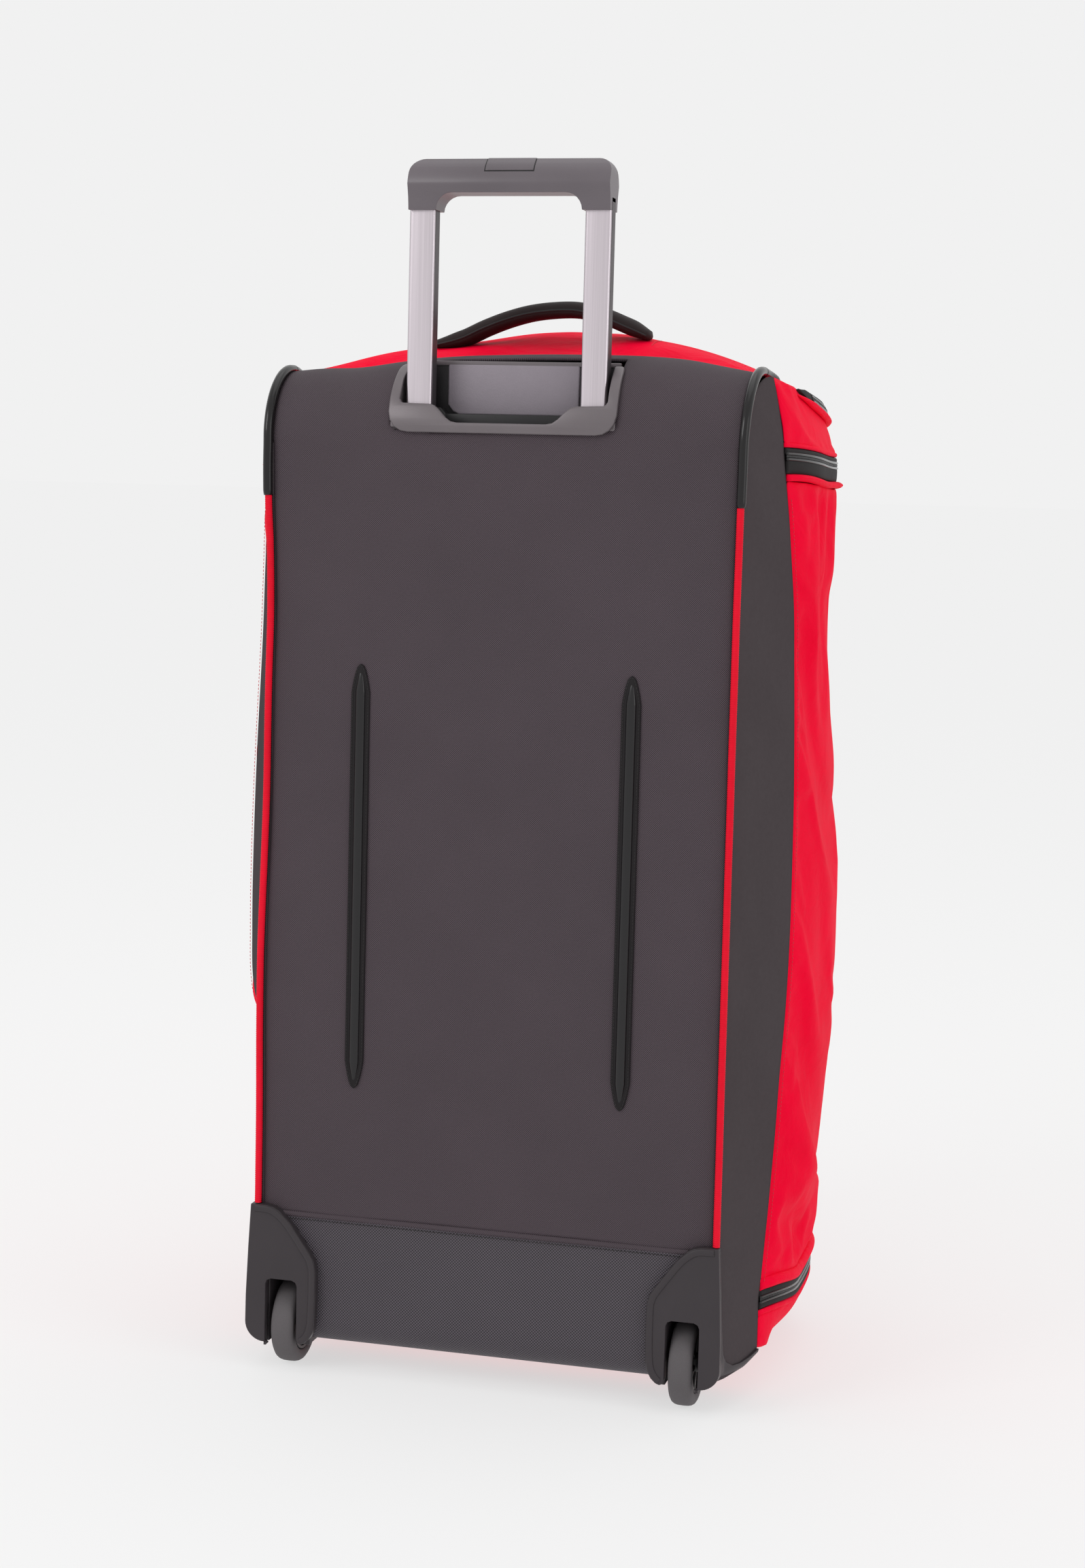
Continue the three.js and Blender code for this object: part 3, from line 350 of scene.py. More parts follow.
def join(name, obs):
    """Joins several loose meshes into the first; all ride on one body."""
    body = obs[0].get("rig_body")
    bm = bmesh.new()
    mats = []
    for o in obs:
        off = {}
        for i, m in enumerate(o.data.materials):
            if m not in mats:
                mats.append(m)
            off[i] = mats.index(m)
        tmp = bmesh.new()
        tmp.from_mesh(o.data)
        for f in tmp.faces:
            f.material_index = off.get(f.material_index, 0)
        t = bpy.data.meshes.new("tmp")
        tmp.to_mesh(t)
        tmp.free()
        bm.from_mesh(t)
        bpy.data.meshes.remove(t)
    me = bpy.data.meshes.new(name)
    bm.to_mesh(me)
    bm.free()
    for m in mats:
        me.materials.append(m)
    me.polygons.foreach_set("use_smooth", [True] * len(me.polygons))
    me.set_sharp_from_angle(angle=math.radians(50))
    for o in obs:
        bpy.data.objects.remove(o)
    ob = bpy.data.objects.new(name, me)
    SCENE.collection.objects.link(ob)
    if body:
        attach(ob, body)
    return ob


def rrect(x0, x1, y0, y1, r, n=5):
    pts = []
    for cx, cy, a0 in ((x1 - r, y0 + r, -90), (x1 - r, y1 - r, 0), (x0 + r, y1 - r, 90), (x0 + r, y0 + r, 180)):
        for i in range(n + 1):
            a = math.radians(a0 + 90 * i / n)
            pts.append((cx + r * math.cos(a), cy + r * math.sin(a)))
    return pts


def smooth_path(pts, step):
    """Catmull-Rom through points (mm), resampled at an even step."""
    p = np.asarray(pts, float)
    q = np.vstack([2 * p[0] - p[1], p, 2 * p[-1] - p[-2]])
    out = []
    for i in range(1, len(q) - 2):
        t = np.linspace(0, 1, 24, endpoint=False)[:, None]
        a, b, c, d = q[i - 1], q[i], q[i + 1], q[i + 2]
        out.append(0.5 * (2 * b + (c - a) * t + (2 * a - 5 * b + 4 * c - d) * t**2 + (3 * b - a - 3 * c + d) * t**3))
    out = np.vstack(out + [p[-1:]])
    s = np.r_[0, np.cumsum(np.linalg.norm(np.diff(out, axis=0), axis=1))]
    n = max(2, int(round(s[-1] / step)))
    t = np.linspace(0, s[-1], n + 1)
    return np.stack([np.interp(t, s, out[:, k]) for k in range(3)], -1)


def sweep(name, pts, nors, section, body, mat, closed=False, replaces=(), caps=True, smooth=True, angle=None):
    """section: list of (a, b) along side and normal in mm, or a function of (index, arc length mm, total mm)."""
    pts = np.asarray(pts, float)
    n = len(pts)
    if callable(nors):
        nors = np.array([nors(p) for p in pts])
    nors = np.asarray(nors, float)
    if nors.ndim == 1:
        nors = np.tile(nors, (n, 1))
    s = np.r_[0, np.cumsum(np.linalg.norm(np.diff(pts, axis=0), axis=1))]
    V, UV, k = [], [], None
    for i in range(n):
        if closed:
            t = pts[(i + 1) % n] - pts[i - 1]
        else:
            t = pts[min(i + 1, n - 1)] - pts[max(i - 1, 0)]
        t /= np.linalg.norm(t) + 1e-12
        nn = nors[i] - t * np.dot(nors[i], t)
        nn /= np.linalg.norm(nn) + 1e-12
        side = np.cross(t, nn)
        sec = section(i, s[i], s[-1]) if callable(section) else section
        k = len(sec)
        per = 0.0
        for j, (a, b) in enumerate(sec):
            V.append(pts[i] + side * a + nn * b)
            UV.append((s[i] / 1000, (a + (b if abs(b) > abs(a) else 0)) / 1000))
    F = []
    m = n if closed else n - 1
    for i in range(m):
        l = (i + 1) % n
        for j in range(k):
            q = (j + 1) % k
            F.append((i * k + j, i * k + q, l * k + q, l * k + j))
    if not closed and caps:
        F.append(tuple(range(k))[::-1])
        F.append(tuple((n - 1) * k + j for j in range(k)))
    ob = make(name, P(V), F, None, mat, smooth=smooth, uv=UV)
    bm = bmesh.new()
    bm.from_mesh(ob.data)
    bmesh.ops.recalc_face_normals(bm, faces=bm.faces)
    bm.to_mesh(ob.data)
    bm.free()
    if angle:
        ob.data.set_sharp_from_angle(angle=math.radians(angle))
    if body:
        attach(ob, body)
    if replaces:
        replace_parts(ob, *replaces)
    return ob


def circle(r, n=12, ry=None):
    ry = r if ry is None else ry
    return [(r * math.cos(2 * math.pi * i / n), ry * math.sin(2 * math.pi * i / n)) for i in range(n)]


# ------------------------------------------------------------------ materials
def srgb(r, g, b):
    f = lambda c: ((c / 255 + 0.055) / 1.055) ** 2.4 if c / 255 > 0.04045 else c / 255 / 12.92
    return (f(r), f(g), f(b), 1)


class M:
    def __init__(self, name, rough=0.6, metal=0.0, spec=0.5, sheen=0.0):
        self.m = bpy.data.materials.new(name)
        self.m.use_nodes = True
        self.t = self.m.node_tree
        self.b = self.t.nodes["Principled BSDF"]
        self.b.inputs["Roughness"].default_value = rough
        self.b.inputs["Metallic"].default_value = metal
        self.b.inputs["Specular IOR Level"].default_value = spec
        if sheen:
            self.b.inputs["Sheen Weight"].default_value = sheen
            self.b.inputs["Sheen Roughness"].default_value = 0.5
        self._uv = self._obj = None

    def n(self, kind, **kw):
        nd = self.t.nodes.new(kind)
        for k, v in kw.items():
            if k.startswith("i_"):
                nd.inputs[int(k[2:])].default_value = v
            else:
                setattr(nd, k, v)
        return nd

    def l(self, a, b):
        self.t.links.new(a, b)

    def coord(self, uv):
        if uv:
            if self._uv is None:
                self._uv = self.n("ShaderNodeUVMap", uv_map="UVMap").outputs[0]
            return self._uv
        if self._obj is None:
            self._obj = self.n("ShaderNodeTexCoord").outputs["Object"]
        return self._obj

    def math(self, op, a, b=None, c=None):
        nd = self.n("ShaderNodeMath", operation=op)
        for i, v in enumerate((a, b, c)):
            if v is None:
                continue
            if isinstance(v, (int, float)):
                nd.inputs[i].default_value = v
            else:
                self.l(v, nd.inputs[i])
        return nd.outputs[0]

    def noise(self, scale, detail=3, rough=0.55, coord=None, uv=False, dist=0.0):
        nd = self.n("ShaderNodeTexNoise")
        nd.inputs["Scale"].default_value = scale
        nd.inputs["Detail"].default_value = detail
        nd.inputs["Roughness"].default_value = rough
        nd.inputs["Distortion"].default_value = dist
        self.l(coord or self.coord(uv), nd.inputs["Vector"])
        return nd.outputs["Fac"]

    def sep(self, vec):
        nd = self.n("ShaderNodeSeparateXYZ")
        self.l(vec, nd.inputs[0])
        return nd.outputs

    def ramp(self, fac, stops):
        nd = self.n("ShaderNodeValToRGB")
        while len(nd.color_ramp.elements) < len(stops):
            nd.color_ramp.elements.new(0.5)
        for e, (p, c) in zip(nd.color_ramp.elements, stops):
            e.position, e.color = p, c
        self.l(fac, nd.inputs[0])
        return nd.outputs[0]

    def mix(self, fac, a, b, mode="MIX"):
        nd = self.n("ShaderNodeMix", data_type="RGBA", blend_type=mode)
        if isinstance(fac, (int, float)):
            nd.inputs[0].default_value = fac
        else:
            self.l(fac, nd.inputs[0])
        for s, v in ((6, a), (7, b)):
            if isinstance(v, tuple):
                nd.inputs[s].default_value = v
            else:
                self.l(v, nd.inputs[s])
        return nd.outputs[2]

    def bump(self, height, strength, dist, prev=None):
        nd = self.n("ShaderNodeBump")
        nd.inputs["Strength"].default_value = strength
        nd.inputs["Distance"].default_value = dist
        self.l(height, nd.inputs["Height"])
        if prev is not None:
            self.l(prev, nd.inputs["Normal"])
        return nd.outputs[0]

    def out(self, color=None, rough=None, normal=None):
        if color is not None:
            if isinstance(color, tuple):
                self.b.inputs["Base Color"].default_value = color
            else:
                self.l(color, self.b.inputs["Base Color"])
        if rough is not None:
            if isinstance(rough, (int, float)):
                self.b.inputs["Roughness"].default_value = rough
            else:
                self.l(rough, self.b.inputs["Roughness"])
        if normal is not None:
            self.l(normal, self.b.inputs["Normal"])
        return self.m

    def rr(self, fac, lo, hi):
        nd = self.n("ShaderNodeMapRange")
        nd.inputs["To Min"].default_value = lo
        nd.inputs["To Max"].default_value = hi
        self.l(fac, nd.inputs["Value"])
        return nd.outputs[0]


def weave(name, dark, light, pitch, rough=(0.7, 0.9), depth=0.25, blotch=0.12, spec=0.35, contrast=1.0, bumpk=0.6, sheen=0.0):
    """Diagonal plain weave: two families of yarn at 45 degrees, in metres of UV."""
    m = M(name, spec=spec, sheen=sheen)
    u = m.sep(m.coord(True))
    k = 2 * math.pi / pitch
    a = m.math("SINE", m.math("MULTIPLY", u[0], k))
    b = m.math("SINE", m.math("MULTIPLY", u[1], k))
    h = m.math("MULTIPLY", a, b)  # -1..1, checker turned 45 degrees
    h = m.math("MULTIPLY_ADD", h, 0.5 * contrast, 0.5)
    # yarn twist: fine ribs along each float
    tw = m.math("SINE", m.math("MULTIPLY", m.math("ADD", u[0], u[1]), k * 2.0))
    h2 = m.math("MULTIPLY_ADD", tw, 0.12, h)
    jit = m.noise(900, 2, 0.6, uv=True)
    big = m.noise(9, 4, 0.6, uv=True)
    fac = m.math("ADD", h2, m.math("MULTIPLY_ADD", jit, 0.3, -0.15))
    col = m.ramp(fac, [(0.05, dark), (0.95, light)])
    shade = m.ramp(big, [(0.3, (1 - blotch, 1 - blotch, 1 - blotch, 1)), (0.7, (1 + 0, 1, 1, 1))])
    col = m.mix(1.0, col, shade, "MULTIPLY")
    n1 = m.bump(m.noise(60, 3, 0.5, uv=True), 0.12, 0.002)
    n2 = m.bump(h2, bumpk, depth / 1000, n1)
    return m.out(col, m.rr(h, *rough), n2)


def cloth_plain(name, base, var, pitch=0.0007, rough=(0.5, 0.62), spec=0.4, sheen=0.0, crease=0.25, blotch=0.06):
    """Close, coated cloth: barely visible plain weave, soft creases and faint colour drift."""
    m = M(name, spec=spec, sheen=sheen)
    o = m.coord(False)
    u = m.sep(o)
    k = 2 * math.pi / pitch
    s = m.math("ADD", u[0], u[1])
    h = m.math("MULTIPLY", m.math("SINE", m.math("MULTIPLY", s, k)), m.math("SINE", m.math("MULTIPLY", u[2], k)))
    big = m.noise(7, 4, 0.6, dist=0.6)
    fine = m.noise(260, 3, 0.6)
    f = m.math("MULTIPLY_ADD", fine, 0.35, m.math("MULTIPLY", big, 0.65))
    col = m.ramp(f, [(0.25, base), (0.75, var)])
    n0 = m.bump(m.noise(26, 4, 0.55, dist=1.2), crease, 0.004)
    n1 = m.bump(m.noise(420, 2, 0.6), 0.15, 0.0004, n0)
    n2 = m.bump(h, 0.25, 0.00012, n1)
    return m.out(col, m.rr(fine, *rough), n2)


def moulded(name, base, grain=1400, rough=(0.42, 0.55), depth=0.00012, metal=0.0, spec=0.5, wear=0.1):
    m = M(name, metal=metal, spec=spec)
    g = m.noise(grain, 3, 0.7)
    big = m.noise(14, 4, 0.6)
    b2 = tuple(min(1, c * (1 + wear)) for c in base[:3]) + (1,)
    b1 = tuple(c * (1 - wear) for c in base[:3]) + (1,)
    col = m.ramp(m.math("MULTIPLY_ADD", g, 0.35, m.math("MULTIPLY", big, 0.65)), [(0.3, b1), (0.7, b2)])
    n = m.bump(g, 0.5, depth)
    return m.out(col, m.rr(big, *rough), n)


def brushed(name, base, rough=(0.24, 0.36), axis=2, metal=1.0):
    m = M(name, metal=metal)
    mp = m.n("ShaderNodeMapping")
    sc = [900, 900, 900]
    sc[axis] = 6
    mp.inputs["Scale"].default_value = sc
    m.l(m.coord(False), mp.inputs["Vector"])
    g = m.noise(1.0, 4, 0.6, coord=mp.outputs[0])
    b1 = tuple(c * 0.88 for c in base[:3]) + (1,)
    col = m.ramp(g, [(0.3, b1), (0.7, base)])
    n = m.bump(g, 0.12, 0.0001)
    return m.out(col, m.rr(g, *rough), n)


MAT = {}
MAT["back"] = weave("back_fabric", srgb(14, 8, 11), srgb(95, 82, 90), 0.0016, rough=(0.62, 0.85), depth=0.22)
MAT["guard"] = weave("guard_fabric", srgb(5, 4, 5), srgb(96, 88, 97), 0.0024, rough=(0.4, 0.7), depth=0.34, spec=0.4, bumpk=0.8, contrast=1.25)
MAT["tarp"] = cloth_plain("tarpaulin", srgb(70, 64, 66), srgb(78, 72, 74), pitch=0.0009, rough=(0.42, 0.55), spec=0.0, crease=0.16)
MAT["red"] = cloth_plain("red_fabric", srgb(230, 4, 44), srgb(246, 8, 54), pitch=0.0008, rough=(0.5, 0.62), spec=0.02, crease=0.6)
MAT["red_pipe"] = cloth_plain("red_piping", srgb(206, 8, 34), srgb(236, 16, 48), pitch=0.0008, rough=(0.5, 0.65), spec=0.12, crease=0.05)
MAT["black_pipe"] = moulded("black_piping", srgb(20, 18, 19), grain=300, rough=(0.16, 0.24), depth=0.00003, spec=0.36)
MAT["rib"] = moulded("rib_vinyl", srgb(20, 18, 20), grain=400, rough=(0.16, 0.24), depth=0.00003, spec=0.4)
MAT["rib_strip"] = cloth_plain("rib_strip", srgb(20, 17, 19), srgb(30, 26, 28), pitch=0.0009, rough=(0.45, 0.6), spec=0.2, crease=0.1)
MAT["plastic"] = moulded("plastic", srgb(56, 51, 54), grain=1500, rough=(0.32, 0.44), depth=0.0001, spec=0.26)
MAT["bezel"] = moulded("bezel_plastic", srgb(104, 97, 100), grain=1700, rough=(0.3, 0.42), depth=0.0001, spec=0.5, metal=0.25)
MAT["recess"] = moulded("recess_plastic", srgb(134, 126, 134), grain=1100, rough=(0.36, 0.5), depth=0.00026, spec=0.5, metal=0.2)
MAT["grip"] = moulded("grip", srgb(94, 87, 92), grain=1300, rough=(0.32, 0.42), depth=0.00008, spec=0.5)
MAT["alu"] = brushed("aluminium", srgb(210, 201, 207), rough=(0.24, 0.36))
MAT["steel"] = brushed("steel", srgb(150, 150, 154), rough=(0.22, 0.34))
# painted shade: dark colour for the strips laid on the tube side faces
MAT["tube_side"] = moulded("tube_groove", srgb(58, 52, 56), grain=900, rough=(0.35, 0.5), metal=0.3)
MAT["tyre"] = moulded("rubber", srgb(88, 84, 86), grain=900, rough=(0.6, 0.78), depth=0.0002, spec=0.3, wear=0.14)
# real colour of the wheel hubs; also used as painted shade in the handle recess and round the grip button
MAT["hub"] = moulded("hub", srgb(26, 24, 26), grain=900, rough=(0.35, 0.5), spec=0.4)
MAT["lining"] = cloth_plain("lining", srgb(38, 36, 39), srgb(50, 47, 51), pitch=0.0012, rough=(0.6, 0.8), crease=0.3)
MAT["tape"] = cloth_plain("black_tape", srgb(18, 15, 16), srgb(30, 26, 27), pitch=0.0012, rough=(0.6, 0.75), spec=0.2, crease=0.08)
MAT["coil"] = moulded("zip_coil", srgb(22, 20, 21), grain=300, rough=(0.16, 0.26), depth=0.00002, spec=0.4)
MAT["handle"] = cloth_plain("handle_leather", srgb(26, 18, 19), srgb(42, 33, 33), pitch=0.0013, rough=(0.55, 0.72), spec=0.22, crease=0.2)
MAT["webbing"] = cloth_plain("webbing", srgb(34, 32, 32), srgb(48, 45, 46), pitch=0.0016, rough=(0.6, 0.8), crease=0.1)
MAT["thread"] = cloth_plain("thread_dark", srgb(20, 18, 19), srgb(34, 31, 32), pitch=0.0006, rough=(0.6, 0.7), crease=0.0)
MAT["thread_red"] = cloth_plain("thread_red", srgb(190, 24, 44), srgb(220, 40, 60), pitch=0.0006, rough=(0.5, 0.6), crease=0.0)
MAT["zinc"] = moulded("zinc", srgb(70, 70, 74), grain=500, rough=(0.22, 0.32), depth=0.00002, metal=0.9)
MAT["board"] = moulded("board", srgb(46, 46, 48), grain=500, rough=(0.5, 0.65), depth=0.0002)

# ------------------------------------------------------------------ back panel
def back_grid():
    xs = np.linspace(-184.4, 184.4, 123)
    ts = np.r_[np.linspace(0, 1, 130), 1 + np.linspace(0, 1, 33)[1:]]
    V, UV = [], []
    for x in xs:
        zc = roll_top(x) - ROLL
        for t in ts:
            if t <= 1:
                z = GUARD_TOP - 1 + t * (zc - GUARD_TOP + 1)
                y, d = 0.0, z
            else:
                a = (t - 1) * math.radians(88)
                y, z, d = ROLL - ROLL * math.cos(a), zc + ROLL * math.sin(a), zc + ROLL * a
            # slack in the cloth over the board and a turned-in edge beside the piping
            e = min(1.0, (184.4 - abs(x)) / 4.0)
            wob = 0.35 * math.sin(x * 0.021 + 1.3) * math.sin(z * 0.013) + 0.25 * math.sin(x * 0.05 + z * 0.031)
            if t <= 1:
                y += 1.0 * (1 - e) ** 2 + wob * e - 0.6 * math.cos(math.pi * x / 370) * e
            V.append((bow(x, y, z), y, z))
            UV.append((x / 1000, d / 1000))
    nv = len(ts)
    F = []
    for f in grid_faces(len(xs), nv):
        c = np.mean([V[i] for i in f], 0)
        if abs(c[0]) < 86.4 and c[2] > 748 and c[1] < 36.5:
            continue
        F.append(f)
    return V, F, UV


V_, F_, UV_ = back_grid()
back = make("back_cloth", P(V_), F_, None, MAT["back"], uv=UV_)
outward(back, (0, 200, 450))
solidify(back, 2.0, MAT["lining"])
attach(back, "root"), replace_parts(back, "back_panel"), back

# ------------------------------------------------------------------ lower guard
prof = [(0, z) for z in np.linspace(GUARD_TOP + 0.5, 44, 22)]
for i in range(1, 13):
    a = math.radians(90 * i / 12)
    prof.append((22 - 22 * math.cos(a), 44 - 22 * math.sin(a)))
prof += [(y, BASE_Z) for y in np.linspace(28, 62, 6)]
xs = np.linspace(-183.5, 183.5, 93)
V_, UV_ = [], []
d = [0]
for i in range(1, len(prof)):
    d.append(d[-1] + math.dist(prof[i], prof[i - 1]))
for x in xs:
    for (y, z), q in zip(prof, d):
        w = 0.8 * math.sin(x * 0.03 + 0.5) * math.exp(-((z - 90) / 40) ** 2)
        V_.append((bow(x, y, z), y - 0.7 + (w if z > 50 else 0) * 0.5 - (1.1 if z > GUARD_TOP - 9 else 0) * min(1, (z - GUARD_TOP + 9) / 3.0) * 0.4, z))
        UV_.append((x / 1000, -q / 1000))
F_ = [f for f in grid_faces(len(xs), len(prof)) if not (abs(np.mean([V_[i][0] for i in f])) > 146 and np.mean([V_[i][2] for i in f]) < 84)]
guard = make("guard_cloth", P(V_), F_, None, MAT["guard"], uv=UV_)
outward(guard, (0, 60, 90))
solidify(guard, 1.8, MAT["lining"])
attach(guard, "root"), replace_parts(guard, "lower_guard"), guard


def stitches(name, pts, nors, body, mat, pitch=3.4, length=2.5, width=0.55, lift=0.25):
    """A row of raised thread stitches along a path."""
    p = np.asarray(pts, float)
    nn = np.asarray([nors(q) for q in p]) if callable(nors) else (np.tile(np.asarray(nors, float), (len(p), 1)) if np.ndim(nors) == 1 else np.asarray(nors, float))
    s = np.r_[0, np.cumsum(np.linalg.norm(np.diff(p, axis=0), axis=1))]
    V, F = [], []
    k = 0
    for c in np.arange(pitch / 2, s[-1] - pitch / 2, pitch):
        base = len(V)
        for j, q in enumerate((-0.5, -0.3, 0, 0.3, 0.5)):
            t = c + q * length
            o = np.array([np.interp(t, s, p[:, i]) for i in range(3)])
            n = np.array([np.interp(t, s, nn[:, i]) for i in range(3)])
            n /= np.linalg.norm(n)
            o2 = np.array([np.interp(min(t + 0.3, s[-1]), s, p[:, i]) for i in range(3)])
            o1 = np.array([np.interp(max(t - 0.3, 0), s, p[:, i]) for i in range(3)])
            tt = (o2 - o1) / (np.linalg.norm(o2 - o1) + 1e-9)
            side = np.cross(tt, n)
            r = width / 2 * (0.55 if j in (0, 4) else 1)
            h = lift * (-0.6 if j in (0, 4) else 1)
            for a in range(5):
                ang = 2 * math.pi * a / 5
                V.append(o + side * r * math.cos(ang) + n * (h + r * math.sin(ang)))
        for j in range(4):
            for a in range(5):
                b = (a + 1) % 5
                F.append((base + j * 5 + a, base + j * 5 + b, base + (j + 1) * 5 + b, base + (j + 1) * 5 + a))
        F.append(tuple(base + a for a in range(5))[::-1])
        F.append(tuple(base + 20 + a for a in range(5)))
    return make(name, P(V), F, body, mat)


def line(a, b, n=60):
    a, b = np.asarray(a, float), np.asarray(b, float)
    return a + (b - a) * np.linspace(0, 1, n)[:, None]


# cross seam: a folded edge with a row of stitching
sweep("guard_seam", line((-182, -0.8, GUARD_TOP - 0.5), (182, -0.8, GUARD_TOP - 0.5), 80), (0, -1, 0), [(-2.2, -0.6), (2.2, -0.6), (2.0, 0.45), (0.6, 0.8), (-2.0, 0.3)], "root", MAT["back"])
stitches("guard_stitch", line((-181, -1.7, GUARD_TOP - 4.0), (181, -1.7, GUARD_TOP - 4.0)), (0, -1, 0), "root", MAT["webbing"], pitch=3.2, length=2.4, width=0.7)

# ------------------------------------------------------------------ ribs
for nm, sg in (("left", -1), ("right", 1)):
    x, z0, z1 = sg * 107, 233, 567
    half = []
    for z in np.r_[np.linspace(z0, z0 + 22, 12), np.linspace(z0 + 30, z1 - 30, 30), np.linspace(z1 - 22, z1, 12)]:
        e = min(z - z0, z1 - z) / 22
        half.append((7.5 * (min(1, e) ** 0.45), z))
    out = [(x + w, z) for w, z in half] + [(x - w, z) for w, z in half[::-1][1:-1]]
    st = prism("rib_cloth_" + nm, out, "y", -2.1, 0.4, "root", MAT["rib_strip"], bev=0.7, seg=3, replaces=("rib_strip_" + nm,))
    zz = np.linspace(z0 + 5, z1 - 5, 180)

    def sec(i, s, L, z0=z0):
        e = min(s, L - s) / 16
        k = max(0.02, min(1, e)) ** 0.6
        w, h = 4.1 * k, 3.4 * k
        return [(w * math.cos(a), -0.6 + h * max(0, math.sin(a)) ** 0.85 if a < math.pi + 0.01 else -0.6) for a in np.linspace(0, math.pi, 13)]

    sweep("rib_bead_" + nm, [(x, -1.7, z) for z in zz], (0, -1, 0), sec, "root", MAT["rib"])
    outline = [(x + (w - 1.3), z) for w, z in half if w > 2.2] + [(x - (w - 1.3), z) for w, z in half[::-1] if w > 2.2]
    path = [(a, -2.15, b) for a, b in outline]
    path.append(path[0])
    stitches("rib_stitch_" + nm, path, (0, -1, 0), "root", MAT["webbing"], pitch=2.6, length=1.9, width=0.5, lift=0.1)

# ------------------------------------------------------------------ pipings and gussets
for nm, sg in (("left", -1), ("right", 1)):
    zz = np.arange(134.8, 695.0, 0.42)

    def sec(i, s, L):
        r = 2.75 + 0.16 * math.sin(2 * math.pi * s / 1.7)
        return circle(r, 12)

    pts = [(bow(sg * 186.3, 0, z), -3.0 + 0.12 * math.sin(z * 0.07), z) for z in zz]
    sweep("piping_cord_" + nm, pts, (0, -1, 0), sec, "root", MAT["red_pipe"], replaces=("piping_" + nm,))
    # flat flange of the piping sewn between the cloths
    sweep("piping_flange_" + nm, [(bow(sg * 185.0, 0, z), 0.2, z) for z in np.linspace(134, 695.5, 60)], (sg, 0, 0), [(-3.0, -1.2), (3.0, -1.2), (3.0, 1.2), (-3.0, 1.2)], "root", MAT["rib_strip"])
    R, zc = ROLL + 2.6, roll_top(sg * 184) - ROLL
    path = [(186.6, -3.4, 694.2), (186.6, -3.3, 704), (186.6, -3.0, 718)]
    for i in range(0, 9):
        a = math.pi / 2 * i / 8
        path.append((186.4 + 1.6 * i / 8, ROLL - R * math.cos(a), zc + R * math.sin(a) - 1.5 * (i / 8) ** 2))
    path = smooth_path([(bow(sg * a, b, c), b, c) for a, b, c in path], 2.0)

    def sec2(i, s, L):
        r = 3.75
        if s < 3:
            r *= 0.86 + 0.14 * s / 3
        return circle(r, 16)

    sweep("corner_cord_" + nm, path, (sg, 0, 0), sec2, "root", MAT["black_pipe"], replaces=("corner_piping_" + nm,))
    tail = smooth_path([path[-1], (sg * 189, 72, zc + R - 3.0), (sg * 191.5, 84, zc + R - 5.5), (sg * 194, 94, zc + R - 9.5)], 2.0)
    sweep("corner_cord_tail_" + nm, tail, (sg, 0, 0), lambda i, s, L: circle(3.75 * max(0.2, min(1, (L - s) / 7)) ** 0.5, 14), "top_flap", MAT["black_pipe"])

    # gusset: coated cloth with soft pulls towards its seams
    nu, nv = 22, 190
    V_, UV_ = [], []
    for i in range(nu):
        f = 0.0 + 1.0 * i / (nu - 1)
        for j in range(nv):
            v = j / (nv - 1)
            y, z = 30.0, 400.0
            for _ in range(6):
                low = BOT + 12 * min(1, y / 57) ** 2
                z = low + v * (float(ridge(y)) + float(tilt(sg * 184)) * (1 - y / 80) - low)
                y = float(seam_y(z)) * f
            x = float(side_x(y, z, sg < 0))
            pin = math.sin(math.pi * f)
            w = pin * (0.9 * math.sin(z * 0.019 + 0.8 * sg) + 0.6 * math.sin(z * 0.047 + f * 3) + 1.6 * math.exp(-(((z - 128) / 16) ** 2)) * math.sin((z - 128) * 0.12 + f * 4))
            V_.append((bow(sg * (x + w - 0.4), y, z), y, z))
            UV_.append((y / 1000, z / 1000))
    g = make("gusset_cloth_" + nm, P(V_), grid_faces(nu, nv), None, MAT["tarp"], uv=UV_)
    outward(g, (0, 200, 400))
    solidify(g, 1.6, MAT["lining"])
    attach(g, "root"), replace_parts(g, "gusset_" + nm), g

# ------------------------------------------------------------------ red ring: body, zip bands, ends
pull_in = table([22, 60, 76, 99, 122, 146, 170, 240, 307, 380, 440, 488, 533, 578, 620, 644, 680, 700, 711, 722, 740, 800], [-2, 0, 4.5, 6.5, 6.0, 5.0, 0.0, 1.5, -2.0, 1.5, 4.0, 4.5, 8.0, 10.0, 10.5, 6.5, 5.0, 3.5, 2.0, 2.0, 1.0, 0.0])


def sst(a):
    a = np.clip(a, 0, 1)
    return a * a * (3 - 2 * a)


def warp(co):
    """How the filled shell hangs: waists between the folds, both zip bands dipping towards the front corners."""
    x, y, z = co[:, 0] * 1000, co[:, 1] * 1000 - Y0, co[:, 2] * 1000
    side = sst((np.abs(x) - 165) / 45)
    w = sst((y - 72) / 95) * side
    dx = -np.sign(x) * pull_in(z) * w
    up_ = np.where(z < 726, sst((z - 650) / 56), sst((785 - z) / 46))
    lo_ = np.where(z > 84, sst((215 - z) / 110), sst((z - 24) / 34))
    # sewn front parts stay level, so only the sides of the bands slope
    dz = up_ * (4.5 * (1 - sst((y - 57) / 150))) * sst((np.abs(x) - 165) / 45)
    dz = dz + lo_ * (3.5 - 12.5 * sst((y - 57) / 115)) * sst((np.abs(x) - 166) / 45)
    return np.stack([co[:, 0] + dx / 1000, co[:, 1], co[:, 2] + dz / 1000], 1)


def hang(*names):
    for n_ in names:
        me_ = bpy.data.objects[n_].data
        c_ = np.empty(len(me_.vertices) * 3)
        me_.vertices.foreach_get("co", c_)
        c_ = warp(c_.reshape(-1, 3))
        me_.vertices.foreach_set("co", c_.ravel())
        me_.update()


